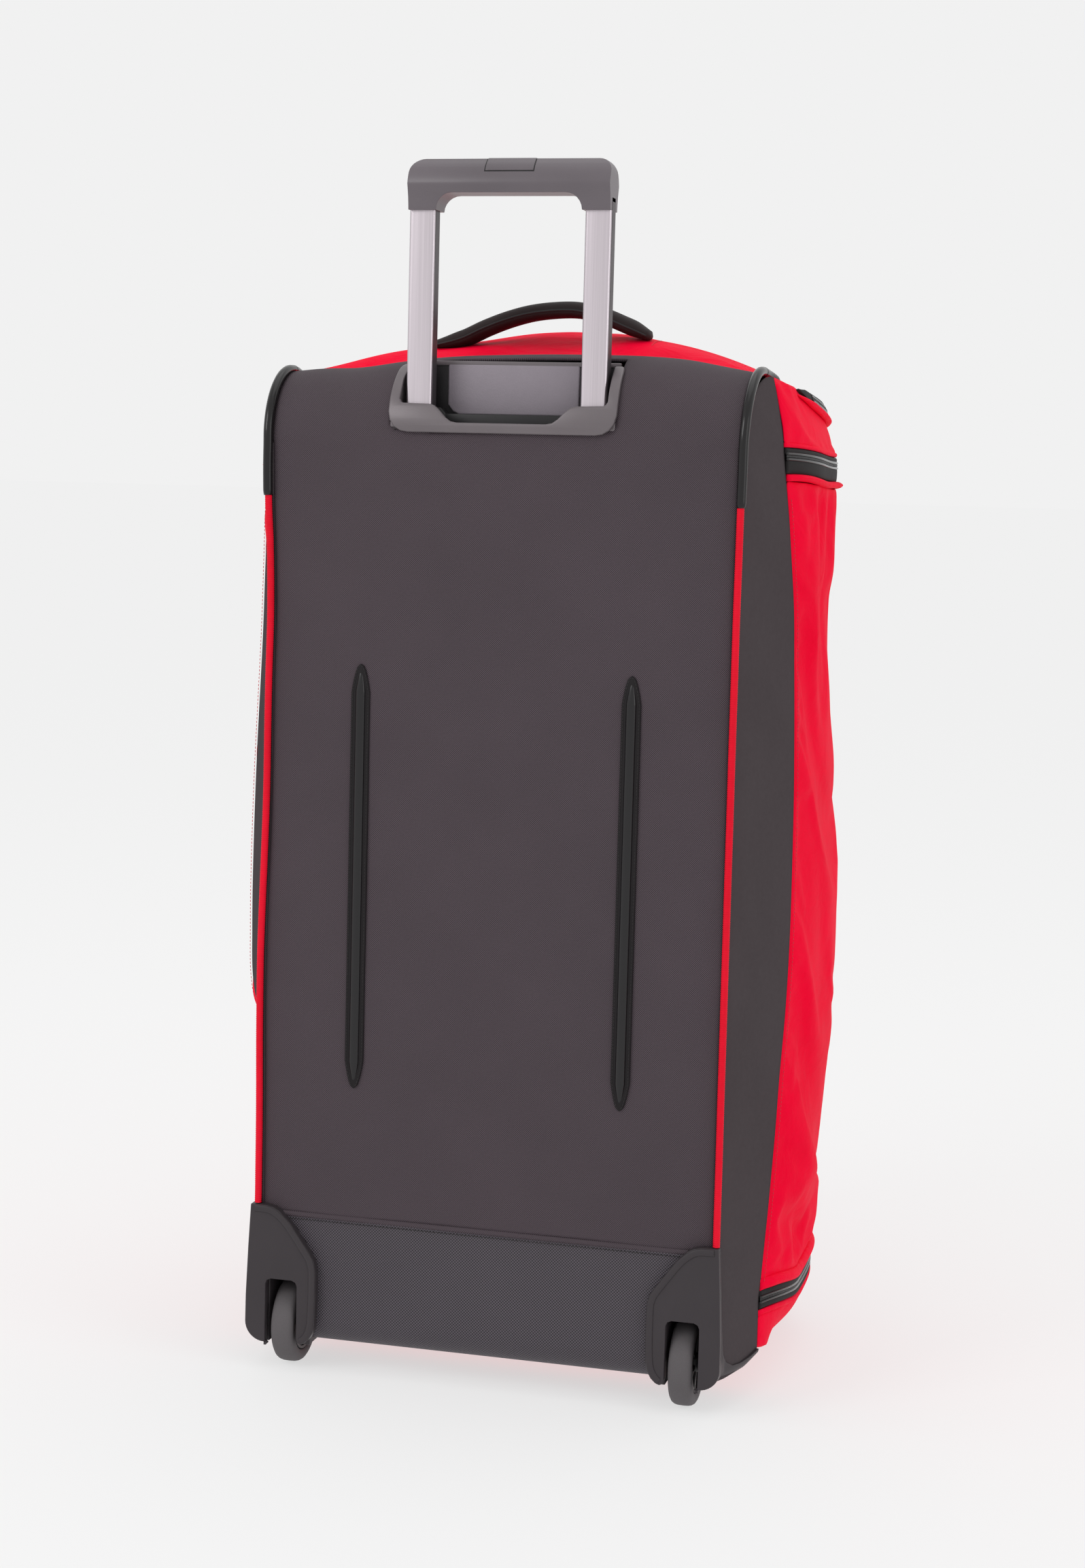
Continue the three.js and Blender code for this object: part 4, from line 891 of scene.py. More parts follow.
def ring_grid(zrow, ncol, extra=0.0, v_of=None, off=None):
    """Grid round the bag from the right gusset seam to the left one. zrow: list of z, or functions handled by v_of."""
    V, UV = [], []
    fs = np.linspace(0, 2, ncol)
    for f in fs:
        left = f > 1
        h = 2 - f if left else f
        for j, zr in enumerate(zrow):
            z = zr
            if v_of is not None:
                y = 200.0
                for _ in range(5):
                    z = v_of(zr, y)
                    L = plan_len(z, left)
                    s0 = arc_at_y(z, float(seam_y(z)), left)
                    x, y = on_plan(z, s0 + h * (L - s0), left)
                    x, y = float(x), float(y)
            L = plan_len(z, left)
            s0 = arc_at_y(z, float(seam_y(z)), left)
            s = s0 + h * (L - s0)
            x, y = on_plan(z, s, left)
            x, y = float(x), float(y)
            V.append((-x if left else x, y, z))
            UV.append(((2 * L - s if left else s) / 1000, z / 1000))
    return np.array(V), UV


def ring_normals(V, nu, nv):
    A = V.reshape(nu, nv, 3)
    du = np.gradient(A, axis=0)
    dv = np.gradient(A, axis=1)
    n = np.cross(du, dv)
    n /= np.linalg.norm(n, axis=2, keepdims=True) + 1e-9
    c = A - np.array([0, 150, 0])
    c[..., 2] = 0
    s = np.sign((n * c).sum(2, keepdims=True))
    s[s == 0] = 1
    return (n * s).reshape(-1, 3)


def noise_field(n, seed, comps, zs=(0.012, 0.05), ss=(0.01, 0.045)):
    r = np.random.default_rng(seed)
    return [(r.uniform(*ss) * r.choice([-1, 1]), r.uniform(*zs) * r.choice([-1, 1]), r.uniform(0, 6.3), 1.0) for _ in range(comps)]


def field(comps, s, z):
    t = np.zeros_like(s)
    for a, b, c, w in comps:
        t += w * np.sin(a * s + b * z + c)
    return t / math.sqrt(len(comps))


def cloth_settle(ob, pinned, pressure=2.2, frames=16, cap=9.0, shrink=-0.035, gravity=0.25, quality=4, bend=0.6):
    """Blender cloth: the piece swells and creases between its held edges; its result is applied to the mesh."""
    me = ob.data
    rest = np.empty(len(me.vertices) * 3)
    me.vertices.foreach_get("co", rest)
    rest = rest.reshape(-1, 3)
    vg = ob.vertex_groups.new(name="hold")
    for i, w in enumerate(pinned):
        if w > 0:
            vg.add([i], float(w), "REPLACE")
    m = ob.modifiers.new("cloth", "CLOTH")
    s = m.settings
    s.quality = quality
    s.mass = 0.25
    s.tension_stiffness = s.compression_stiffness = 12
    s.shear_stiffness = 6
    s.bending_stiffness = bend
    s.vertex_group_mass = "hold"
    s.use_pressure = True
    s.uniform_pressure_force = pressure
    s.shrink_min = shrink
    s.effector_weights.gravity = gravity
    m.collision_settings.use_collision = False
    m.collision_settings.use_self_collision = False
    m.point_cache.frame_start = 1
    m.point_cache.frame_end = frames
    for f in range(1, frames + 1):
        SCENE.frame_set(f)
    dg = bpy.context.evaluated_depsgraph_get()
    ev = ob.evaluated_get(dg)
    co = np.empty(len(ev.data.vertices) * 3)
    ev.data.vertices.foreach_get("co", co)
    co = co.reshape(-1, 3)
    ob.modifiers.clear()
    SCENE.frame_set(1)
    d = co - rest
    ln = np.linalg.norm(d, axis=1, keepdims=True)
    d *= np.minimum(1, (cap / 1000) / np.maximum(ln, 1e-9))
    me.vertices.foreach_set("co", (rest + d).ravel())
    me.update()
    ob.vertex_groups.clear()
    return ob


COMP = noise_field(0, 11, 14)


def lid_zone(x, z, o=0.0):
    """Signed distance-like test: True inside the lid's outline grown by o."""
    X, Z, r = ZIP_X + o, ZIP_TOP + o, ZIP_R + o
    ax = abs(x)
    if ax > X or z > Z or z < LID_Z + (0.3 if o < 0 else -0.3):
        return False
    if ax > X - r and z > Z - r:
        return (ax - X + r) ** 2 + (z - Z + r) ** 2 <= r * r
    return True


def snap_lid(x, z, o):
    X, Z, r = ZIP_X + o, ZIP_TOP + o, ZIP_R + o
    ax = abs(x)
    if ax > X - r and z > Z - r:
        dx, dz = ax - X + r, z - Z + r
        L = math.hypot(dx, dz) or 1
        return math.copysign(X - r + dx / L * r, x), Z - r + dz / L * r
    cand = [(abs(ax - X), (math.copysign(X, x), z)), (abs(z - Z), (x, Z)), (abs(z - LID_Z), (x, LID_Z + (0.3 if o < 0 else -0.3)))]
    return min(cand)[1]


def cut_lid(V, F, nv, keep_inside, o):
    """Keeps the faces inside or outside the lid outline and moves the cut edge onto it."""
    keep = []
    for f in F:
        c = np.mean([V[i] for i in f], 0)
        ins = c[1] > 230 and lid_zone(c[0], c[2], o)
        if ins == keep_inside:
            keep.append(f)
    count = {}
    for f in keep:
        for i in range(4):
            e = tuple(sorted((f[i], f[(i + 1) % 4])))
            count[e] = count.get(e, 0) + 1
    full = {}
    for f in F:
        for i in range(4):
            e = tuple(sorted((f[i], f[(i + 1) % 4])))
            full[e] = full.get(e, 0) + 1
    edge = set()
    for e, c in count.items():
        if c == 1 and full[e] == 2:
            edge.update(e)
    for i in edge:
        x, z = snap_lid(V[i][0], V[i][2], o)
        V[i] = (x, float(front_y(x, z)), z)
    return V, keep, edge


# main body: the red ring between the two end pockets, open where the lid is
zr = np.linspace(88.0, 711, 96)
ncol = 161
V_, UV_ = ring_grid(list(zr), ncol)
nrm = ring_normals(V_, ncol, len(zr))
s_ = np.array(UV_)[:, 0] * 1000
edge_fade = np.minimum(1, np.minimum(V_[:, 2] - 91, 712 - V_[:, 2]) / 60)
colid = np.repeat(np.arange(ncol), len(zr))
side_fade = np.minimum(1, np.minimum(colid, ncol - 1 - colid) / 8)
fold = field(COMP, s_, V_[:, 2])
# short pleats gathered into the zip seams
pl = np.sin(s_ * 0.16 + 1.5 * np.sin(s_ * 0.021)) * np.exp(-np.minimum(V_[:, 2] - 91, 712 - V_[:, 2]) / 34)
amp = 2.5 * fold * edge_fade * side_fade + 2.3 * pl * side_fade * np.minimum(1, np.minimum(V_[:, 2] - 91, 712 - V_[:, 2]) / 8)
V_ = V_ + nrm * (amp - 0.5)[:, None]
F_ = grid_faces(ncol, len(zr))
V_ = [tuple(v) for v in V_]
V_, Fk, edge = cut_lid(V_, F_, len(zr), False, 3.0)
body_red = make("body_cloth", P(V_), Fk, None, MAT["red"], uv=UV_)
hold = np.zeros(len(V_))
for j in range(len(zr)):
    for c in (0, 1, ncol - 2, ncol - 1):
        hold[c * len(zr) + j] = 1
for c in range(ncol):
    for j in (0, 1, len(zr) - 2, len(zr) - 1):
        hold[c * len(zr) + j] = 1
for i in edge:
    hold[i] = 1
bm = bmesh.new()
bm.from_mesh(body_red.data)
loose = [v for v in bm.verts if not v.link_faces]
keepidx = [v.index for v in bm.verts if v.link_faces]
bmesh.ops.delete(bm, geom=loose, context="VERTS")
bm.to_mesh(body_red.data)
bm.free()
outward(body_red, (0, 150, 400))
cloth_settle(body_red, hold[keepidx], pressure=0.7, frames=14, cap=4.5)
solidify(body_red, 1.8, MAT["lining"])
subsurf(body_red, 1)
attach(body_red, "root"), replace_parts(body_red, "main_body_panel"), body_red

# lid
zr = np.linspace(118.5, 700, 91)
V_, UV_ = ring_grid(list(zr), ncol)
nrm = ring_normals(V_, ncol, len(zr))
s_ = np.array(UV_)[:, 0] * 1000
inset = np.minimum(np.minimum(ZIP_X - np.abs(V_[:, 0]), ZIP_TOP - V_[:, 2]), V_[:, 2] - LID_Z)
fade = np.clip(inset / 50, 0, 1)
V_ = V_ + nrm * (1.4 * field(COMP, s_ + 300, V_[:, 2]) * fade + 3.0 * np.clip(inset / 90, 0, 1) ** 0.7)[:, None]
V_ = [tuple(v) for v in V_]
V_, Fk, edge = cut_lid(V_, grid_faces(ncol, len(zr)), len(zr), True, -3.2)
lid = make("lid_cloth", P(V_), Fk, None, MAT["red"], uv=UV_)
hold = np.zeros(len(V_))
for i in edge:
    hold[i] = 1
bm = bmesh.new()
bm.from_mesh(lid.data)
keepidx = [v.index for v in bm.verts if v.link_faces]
bmesh.ops.delete(bm, geom=[v for v in bm.verts if not v.link_faces], context="VERTS")
bm.to_mesh(lid.data)
bm.free()
outward(lid, (0, 150, 400))
cloth_settle(lid, hold[keepidx], pressure=0.8, frames=12, cap=5.0)
solidify(lid, 1.8, MAT["lining"])
subsurf(lid, 1)
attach(lid, "lid"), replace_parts(lid, "lid_panel"), lid


def ring_path(z, step=6.0, off=0.0, f0=0.0, f1=2.0, zf=None):
    n = int(2 * (plan_len(z) - arc_at_y(z, float(seam_y(z)))) / step)
    P_, N_ = [], []
    for f in np.linspace(f0, f1, n):
        left = f > 1
        h = 2 - f if left else f
        zz, y = z, 200.0
        for _ in range(5 if zf is not None else 1):
            if zf is not None:
                zz = zf(y)
            L = plan_len(zz, left)
            ss = arc_at_y(zz, float(seam_y(zz)), left)
            s = ss + h * (L - ss)
            x, y = on_plan(zz, s, left)
            y = float(y)
        xa, ya = on_plan(zz, s - 1, left)
        xb, yb = on_plan(zz, min(s + 1, L), left)
        n_ = np.array([float(yb - ya), -float(xb - xa), 0.0])
        n_ /= np.linalg.norm(n_) + 1e-9
        if left:
            x, n_[0] = -x, -n_[0]
        P_.append((float(x), float(y), float(zz)))
        N_.append(n_)
    P_, N_ = np.array(P_), np.array(N_)
    return P_ + N_ * off, N_


def zip_band(tag, z0, z1, body, node, up):
    """Zip band: two woven tapes and a closed coil between them, the coil set towards the upper tape."""
    zm = (z0 + z1) / 2
    zs = np.linspace(z0 - 2.5, z1 + 2.5, 9)
    nc = 141
    V, UV = ring_grid(list(zs), nc)
    nr = ring_normals(V, nc, len(zs))
    V = V - nr * 1.6
    ob = make("zip_tape_" + tag, P(V), grid_faces(nc, len(zs)), None, MAT["tape"], uv=UV)
    outward(ob, (0, 150, zm))
    solidify(ob, 1.2, MAT["lining"])
    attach(ob, body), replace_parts(ob, node), ob
    zc = zm + up
    hw = (z1 - z0) / 2
    for k, (a, b) in enumerate(((z0 + 0.4, zc - 1.9), (zc + 1.9, z1 - 0.4))):
        p, n = ring_path((a + b) / 2, 3.0, -0.6)
        w = (b - a) / 2
        sweep(f"zip_edge_{tag}_{k}", p, n, [(-w, -0.5), (w, -0.5), (w, 0.5), (w - 0.5, 1.0), (w * 0.45, 1.35), (-w * 0.45, 1.35), (-w + 0.5, 1.0), (-w, 0.5)], body, MAT["tape"])
    for k, dz in enumerate((-2.1, 2.1)):
        p, n = ring_path(zc + dz, 3.0, 0.5)
        sweep(f"zip_cord_{tag}_{k}", p, n, [(1.05 * math.cos(t), 1.15 * math.sin(t)) for t in np.linspace(0, 2 * math.pi, 9)[:-1]], body, MAT["coil"])
    p, n = ring_path(zc, 0.9, 0.1)
    coil(f"zip_coil_{tag}", p, n, body, r=1.5)
    return zm


def coil(name, p, n, body, r=1.9, pitch=1.5):
    """Nylon coil: one small bar per tooth across the zip line."""
    s = np.r_[0, np.cumsum(np.linalg.norm(np.diff(p, axis=0), axis=1))]
    V, F = [], []
    for c in np.arange(1, s[-1] - 1, pitch):
        o = np.array([np.interp(c, s, p[:, i]) for i in range(3)])
        nn = np.array([np.interp(c, s, n[:, i]) for i in range(3)])
        nn /= np.linalg.norm(nn)
        t = np.array([np.interp(c + 0.5, s, p[:, i]) - np.interp(c - 0.5, s, p[:, i]) for i in range(3)])
        t /= np.linalg.norm(t) + 1e-9
        side = np.cross(t, nn)
        b = len(V)
        for a in (-1.0, -0.55, 0.55, 1.0):
            h = 0.95 if abs(a) < 0.9 else 0.1
            w = pitch * 0.36
            V += [o + side * a * r - t * w - nn * 0.5, o + side * a * r - t * w * 0.5 + nn * h, o + side * a * r + t * w * 0.5 + nn * h, o + side * a * r + t * w - nn * 0.5]
        for k in range(3):
            for q in range(4):
                q2 = (q + 1) % 4
                F.append((b + k * 4 + q, b + k * 4 + q2, b + (k + 1) * 4 + q2, b + (k + 1) * 4 + q))
        F.append((b, b + 3, b + 2, b + 1))
        F.append((b + 12, b + 13, b + 14, b + 15))
    ob = make(name, P(V), F, None, MAT["coil"])
    bm = bmesh.new()
    bm.from_mesh(ob.data)
    bmesh.ops.recalc_face_normals(bm, faces=bm.faces)
    bm.to_mesh(ob.data)
    bm.free()
    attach(ob, body)
    return ob


def lip(name, z, body, mat, out=4.2, half=4.6, up=1, off=0.0, f0=0.0, f1=2.0, wob=1.0):
    p, n = ring_path(z, 5.0, off, f0, f1)
    L = len(p)
    for i in range(L):
        p[i, 2] += wob * 0.8 * math.sin(i * 0.23 + 0.6 * math.sin(i * 0.07))

    def sec(i, s, T):
        k = min(1, s / 14, (T - s) / 14) if T > 40 else 1
        k = max(0.25, k)
        o = out * k * (1 + 0.12 * math.sin(s * 0.045))
        return [(half * math.copysign(abs(math.cos(a)) ** 1.25, math.cos(a)), -0.4 + o * max(0, math.sin(a)) ** 0.9) for a in np.linspace(0, math.pi, 11)] + [(-half * 0.9, -1.6), (half * 0.9, -1.6)]

    return sweep(name, p, n, sec, body, mat)


zip_band("upper", 716, 736, "root", "upper_zip", 3.4)
zip_band("lower", 66.5, 82.5, "root", "lower_zip", 0.0)
lip("lip_upper_low", 713.2, "root", MAT["red"], out=5.2, half=2.7, wob=0.8)
lip("lip_upper_top", 738.0, "top_flap", MAT["red"], out=1.4, half=1.8, wob=0.0)
lip("lip_lower_top", 86.5, "root", MAT["red"], out=4.4, half=4.8, wob=0.8)
lip("lip_lower_low", 63.6, "root", MAT["red"], out=1.6, half=2.4, wob=0.4)

# ------------------------------------------------------------------ top end
RIM_N = 121
TOP_C = np.array([36, 190, 834.5])
TOP_P = 1.65


def wall_zone(name, z_low, body, node, ncol, nrow, slot):
    pass


def top_piece():
    """Wall above the upper zip and the domed top as one cloth, from the zip band over the rim to the centre."""
    rows = []
    fs = np.linspace(0, 2, RIM_N)
    rim = []
    wall_rows = 13
    cols = []
    for f in fs:
        left = f > 1
        h = 2 - f if left else f
        col = []
        y = 200.0
        for j in range(wall_rows):
            v = j / (wall_rows - 1)
            z = 738.6 + v * (760 - 738.6)
            for _ in range(5):
                z = 738.6 + v * (float(ridge(y)) - 2.0 - 738.6)
                L, s0 = plan_len(z, left), arc_at_y(z, float(seam_y(z)), left)
                x, y = on_plan(z, s0 + h * (L - s0), left)
                x, y = float(x), float(y)
            col.append((-x if left else x, y, z))
        rim.append(col[-1])
        cols.append(col)
    # back edge runs from the left rim end to the right one along the black roll
    back_n = 41
    bx = np.linspace(rim[-1][0], rim[0][0], back_n + 2)[1:-1]
    back = [(x, 60.5, roll_top(x) - 0.5) for x in bx]
    loop = rim + back
    rings = 26
    V, F, UV = [], [], []
    nR = len(loop)
    for k in range(rings):
        q = 1 - k / rings
        for i, p in enumerate(loop):
            x = TOP_C[0] + q * (p[0] - TOP_C[0])
            y = TOP_C[1] + q * (p[1] - TOP_C[1])
            z = p[2] + (TOP_C[2] - p[2]) * (1 - q**TOP_P)
            V.append((x, y, z))
            UV.append((x / 1000, y / 1000))
    V.append(tuple(TOP_C))
    UV.append((0, 0.15))
    for k in range(rings - 1):
        for i in range(nR):
            j = (i + 1) % nR
            F.append((k * nR + i, k * nR + j, (k + 1) * nR + j, (k + 1) * nR + i))
    for i in range(nR):
        F.append(((rings - 1) * nR + i, (rings - 1) * nR + (i + 1) % nR, rings * nR))
    # wall below the rim (its last row is the rim itself)
    base = len(V)
    nw = wall_rows - 1
    for c, col in enumerate(cols):
        for j in range(nw):
            V.append(col[j])
            UV.append((c * 0.006, col[j][2] / 1000))
    for c in range(RIM_N - 1):
        for j in range(nw - 1):
            a, b = base + c * nw + j, base + (c + 1) * nw + j
            F.append((a, b, b + 1, a + 1))
        F.append((base + c * nw + nw - 1, base + (c + 1) * nw + nw - 1, c + 1, c))
    return V, F, UV, loop, base, nw


V_, F_, UV_, LOOP, WB, NW = top_piece()
A = np.array(V_)
# soft folds on the dome
r_ = np.hypot(A[:, 0] - TOP_C[0], A[:, 1] - TOP_C[1])
ang = np.arctan2(A[:, 1] - TOP_C[1], A[:, 0] - TOP_C[0])
dome_n = RIM_N + 41
lift = 1.8 * np.sin(ang * 5 + 0.7) * np.clip(r_ / 120, 0, 1) * np.clip((235 - r_) / 60, 0, 1) + 1.2 * np.sin(A[:, 0] * 0.03 + A[:, 1] * 0.05)
isdome = np.arange(len(A)) < WB
edge_ = np.zeros(len(A))
ringk = np.arange(len(A)) // dome_n
A[:, 2] += np.where(isdome & (ringk > 0), lift * np.clip(ringk / 5, 0, 1), 0)
top = make("top_cloth", P(A), F_, None, MAT["red"], uv=UV_)
outward(top, (0, 150, 700))
hold = np.zeros(len(A))
hold[RIM_N : dome_n] = 1
for c in range(RIM_N):
    hold[WB + c * NW] = 1
    hold[c] = 0.35
for c in (0, RIM_N - 1):
    hold[c] = 1
    for j in range(NW):
        hold[WB + c * NW + j] = 1
cloth_settle(top, hold, pressure=0.5, frames=14, cap=2.6, shrink=-0.01)
solidify(top, 1.8, MAT["lining"])
subsurf(top, 1)
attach(top, "top_flap"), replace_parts(top, "top_end_pocket"), top

# bottom end
def bottom_piece():
    fs = np.linspace(0, 2, 121)
    wall_rows = 9
    cols, rim = [], []
    for f in fs:
        left = f > 1
        h = 2 - f if left else f
        col = []
        for j in range(wall_rows):
            z = 61.5 + (BOT - 61.5) * j / (wall_rows - 1)
            L, s0 = plan_len(z, left), arc_at_y(z, float(seam_y(z)), left)
            x, y = on_plan(z, s0 + h * (L - s0), left)
            z += 12 * (1 - min(1, max(0, (float(y) - 57) / 75))) ** 1.5 * (j / (wall_rows - 1))
            col.append((-float(x) if left else float(x), float(y), z))
        cols.append(col)
        rim.append(col[-1])
    back = [(x, 62.0, BASE_Z + 1.2) for x in np.linspace(rim[-1][0], rim[0][0], 32)[1:-1]]
    loop = rim + back
    C = np.array([0, 180, BASE_Z + 0.0])
    V, F, UV = [], [], []
    rings, nR = 10, len(loop)
    for k in range(rings):
        q = 1 - k / rings
        for p in loop:
            x, y = C[0] + q * (p[0] - C[0]), C[1] + q * (p[1] - C[1])
            V.append((x, y, p[2] + (C[2] - p[2]) * (1 - q**5)))
            UV.append((x / 1000, y / 1000))
    V.append(tuple(C))
    UV.append((0, 0.18))
    for k in range(rings - 1):
        for i in range(nR):
            j = (i + 1) % nR
            F.append((k * nR + i, k * nR + j, (k + 1) * nR + j, (k + 1) * nR + i))
    for i in range(nR):
        F.append(((rings - 1) * nR + i, (rings - 1) * nR + (i + 1) % nR, rings * nR))
    base, nw = len(V), wall_rows - 1
    for c, col in enumerate(cols):
        for j in range(nw):
            V.append(col[j])
            UV.append((c * 0.006, col[j][2] / 1000))
    for c in range(len(cols) - 1):
        for j in range(nw - 1):
            a, b = base + c * nw + j, base + (c + 1) * nw + j
            F.append((a, b, b + 1, a + 1))
        F.append((base + c * nw + nw - 1, base + (c + 1) * nw + nw - 1, c + 1, c))
    return V, F, UV


V_, F_, UV_ = bottom_piece()
bottom = make("bottom_cloth", P(V_), F_, None, MAT["red"], uv=UV_)
outward(bottom, (0, 150, 60))
solidify(bottom, 1.8, MAT["lining"])
subsurf(bottom, 1)
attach(bottom, "root"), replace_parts(bottom, "bottom_end_pocket"), bottom

# ------------------------------------------------------------------ rim zip on the top end
def rim_low(y):
    """Lower edge of the rim zip: it leaves the rim near the gusset and drops to 17 mm below it at the front."""
    return float(np.interp(y, [95, 115, 150, 190, 232, 280, 345], [786.0, 784.0, 779.4, 774.0, 768.5, 763.0, 758.5]))


def rim_top(y):
    return float(ridge(y)) - 2.6


F0R, F1R = 0.13, 1.87
pm, nm_ = ring_path(770, 3.0, 0.3, F0R, F1R, zf=lambda y: (rim_low(y) + rim_top(y)) / 2)
RH = [max(0.15, (rim_top(q[1]) - rim_low(q[1])) / 2) for q in pm]
nm_[:, 2] = 0.3


def rim_sec(i, s, T):
    k = RH[i] * max(0.05, min(1, s / 25, (T - s) / 25))
    return [(-k, -1.4), (k, -1.4), (k, 0.9), (k * 0.5, 1.5), (-k * 0.5, 1.5), (-k, 0.9)]


sweep("rim_tape", pm, nm_, rim_sec, "top_flap", MAT["tape"], replaces=("rim_zip",), angle=40)
pc, nc_ = ring_path(770, 1.0, 1.7, 0.24, 1.76, zf=lambda y: 0.55 * rim_low(y) + 0.45 * rim_top(y))
coil("rim_coil", pc, nc_, "top_flap", r=1.5)
for k, dz in enumerate((-2.1, 2.1)):
    pc, nc_ = ring_path(770, 3.0, 1.8, 0.24, 1.76, zf=lambda y: 0.55 * rim_low(y) + 0.45 * rim_top(y) + dz)
    sweep(f"rim_cord_{k}", pc, nc_, circle(1.0, 8), "top_flap", MAT["coil"])
pl_, nl_ = ring_path(770, 4.0, 0.0, 0.10, 1.90, zf=lambda y: rim_low(y) - 1.8)


def rim_lip_sec(i, s, T):
    k = max(0.2, min(1, s / 60, (T - s) / 60))
    return [(2.6 * k * math.copysign(abs(math.cos(a)) ** 1.25, math.cos(a)), -0.8 + 4.6 * k * max(0, math.sin(a)) ** 0.9) for a in np.linspace(0, math.pi, 11)] + [(-2.2 * k, -1.6), (2.2 * k, -1.6)]


sweep("rim_lip", pl_, nl_, rim_lip_sec, "top_flap", MAT["red"])

hang("body_cloth", "top_cloth", "bottom_cloth", "lip_upper_low", "lip_upper_top", "lip_lower_top", "lip_lower_low", "rim_tape", "rim_coil", "rim_cord_0", "rim_cord_1", "rim_lip")
hang(*[o_.name for o_ in list(bpy.data.objects) if o_.name.startswith(("zip_tape_", "zip_edge_", "zip_cord_", "zip_coil_"))])

# ------------------------------------------------------------------ main zip
def front_path(o, lift=0.0, step=3.0, z0=LID_Z + 1):
    x, r, zc = ZIP_X + o, ZIP_R + o, ZIP_TOP - ZIP_R
    raw = [(x, z) for z in np.arange(z0, zc, 6)]
    raw += [(x - r + r * math.cos(a), zc + r * math.sin(a)) for a in np.linspace(0, math.pi / 2, 14)]
    raw += [(q, ZIP_TOP + o) for q in np.arange(x - r - 6, 0, -6)]
    raw.append((0, ZIP_TOP + o))
    raw += [(-a, b) for a, b in raw[:-1][::-1]]
    raw = np.array(raw)
    s = np.r_[0, np.cumsum(np.hypot(*np.diff(raw, axis=0).T))]
    t = np.linspace(0, s[-1], int(s[-1] / step))
    a, b = np.interp(t, s, raw[:, 0]), np.interp(t, s, raw[:, 1])
    y = front_y(a, b)
    dx = (front_y(a + 1, b) - front_y(a - 1, b)) / 2
    dz = (front_y(a, b + 1) - front_y(a, b - 1)) / 2
    n = np.stack([-dx, np.ones_like(dx), -dz], -1)
    n /= np.linalg.norm(n, axis=1, keepdims=True)
    return np.stack([a, y, b], -1) + n * lift, n


tape_sec = [(-4.3, -0.7), (4.3, -0.7), (4.3, 0.7), (-4.3, 0.7)]
p, n = front_path(4.7, 0.6)
sweep("main_tape_outer", p, n, tape_sec, "root", MAT["tape"], replaces=("main_zip_tape",), angle=40)
p, n = front_path(-4.7, 0.6)
sweep("main_tape_inner", p, n, tape_sec, "lid", MAT["tape"], replaces=("lid_zip_tape",), angle=40)
p, n = front_path(0.0, 1.9, 0.9)
coil("main_coil", p, n, "lid")
p, n = front_path(11.5, 0.2)
sweep("main_lip_outer", p, n, lambda i, s, T: [(3.4 * math.cos(a), -1.2 + 3.2 * math.sin(a)) for a in np.linspace(0, math.pi, 8)] + [(-3, -1.6), (3, -1.6)], "root", MAT["red"])
p, n = front_path(-11.5, 0.2)
sweep("main_lip_inner", p, n, lambda i, s, T: [(3.4 * math.cos(a), -1.2 + 3.2 * math.sin(a)) for a in np.linspace(0, math.pi, 8)] + [(-3, -1.6), (3, -1.6)], "lid", MAT["red"])

# sewn cord along the lid's hinge seam
hx = np.linspace(-166, 166, 90)
sweep("lid_hinge_cord", [(x_, float(front_y(x_, LID_Z)) + 0.2, LID_Z) for x_ in hx], (0, 1, 0), circle(1.9, 10), "root", MAT["red_pipe"])
# seam stitches where the red cloth meets each gusset
for nm, sg in (("left", -1), ("right", 1)):
    sp, sn = [], []
    for z_ in np.arange(92, 706, 4.0):
        s0_ = arc_at_y(z_, float(seam_y(z_)), sg < 0)
        x_, y_ = on_plan(z_, s0_ + 2.6, sg < 0)
        sp.append((sg * (float(x_) + 0.9), float(y_), z_))
        sn.append((sg, 0, 0))
    stitches("side_stitch_" + nm, sp, np.array(sn, float), "root", MAT["thread_red"], pitch=3.0, length=2.1, width=0.55)

# ------------------------------------------------------------------ handle housing
def cut_at(ob, axis, values):
    """Extra edge loops across a piece, at the given heights in row metres, so it can be bent."""
    bm_ = bmesh.new()
    bm_.from_mesh(ob.data)
    no = [0, 0, 0]
    no[axis] = 1
    for v in values:
        co_ = [0, 0, 0]
        co_[axis] = v
        bmesh.ops.bisect_plane(bm_, geom=bm_.verts[:] + bm_.edges[:] + bm_.faces[:], plane_co=co_, plane_no=no)
    bm_.to_mesh(ob.data)
    bm_.free()


def roll_in(ob, shift):
    """Bend a piece over the shoulder roll. shift: move with the surface, otherwise only keep behind it."""
    me_ = ob.data
    c_ = np.empty(len(me_.vertices) * 3)
    me_.vertices.foreach_get("co", c_)
    c_ = c_.reshape(-1, 3)
    for v in c_:
        z_ = v[2] * 1000
        h_ = z_ - (roll_top(v[0] * 1000) - ROLL)
        if h_ > 0:
            d_ = (ROLL - math.sqrt(max(1.0, ROLL**2 - min(h_, ROLL - 1) ** 2))) / 1000
            if shift:
                v[1] += d_
            else:
                v[1] = max(v[1], d_ + Y0 / 1000 - 0.0004)
    me_.vertices.foreach_set("co", c_.ravel())
    me_.update()


RZ = [0.75 + 0.0035 * k_ for k_ in range(14)]
SC = [(-81.6, 797.5), (-81.6, 770), (-79.6, 767.0), (-57, 766.4), (-53.5, 765.4), (-50, 762.6), (-44, 756.4), (-40, 753.6), (-35, 752.6), (35, 752.6), (40, 753.6), (44, 756.4), (50, 762.6), (53.5, 765.4), (57, 766.4), (79.6, 767.0), (81.6, 770), (81.6, 797.5)]
OUT = [(87.2, 797.5), (88.9, 795.6), (89.3, 792), (89.4, 772), (89.2, 760), (87.6, 753.6), (84, 748.8), (79, 745.8), (73, 744.8)]
outline = SC + OUT + [(-x, z) for x, z in OUT[::-1]]
plate = prism("housing_plate", outline, "y", -4.6, 0.6, "root", MAT["bezel"], bev=1.7, seg=4)
cut_at(plate, 2, RZ)
roll_in(plate, True)
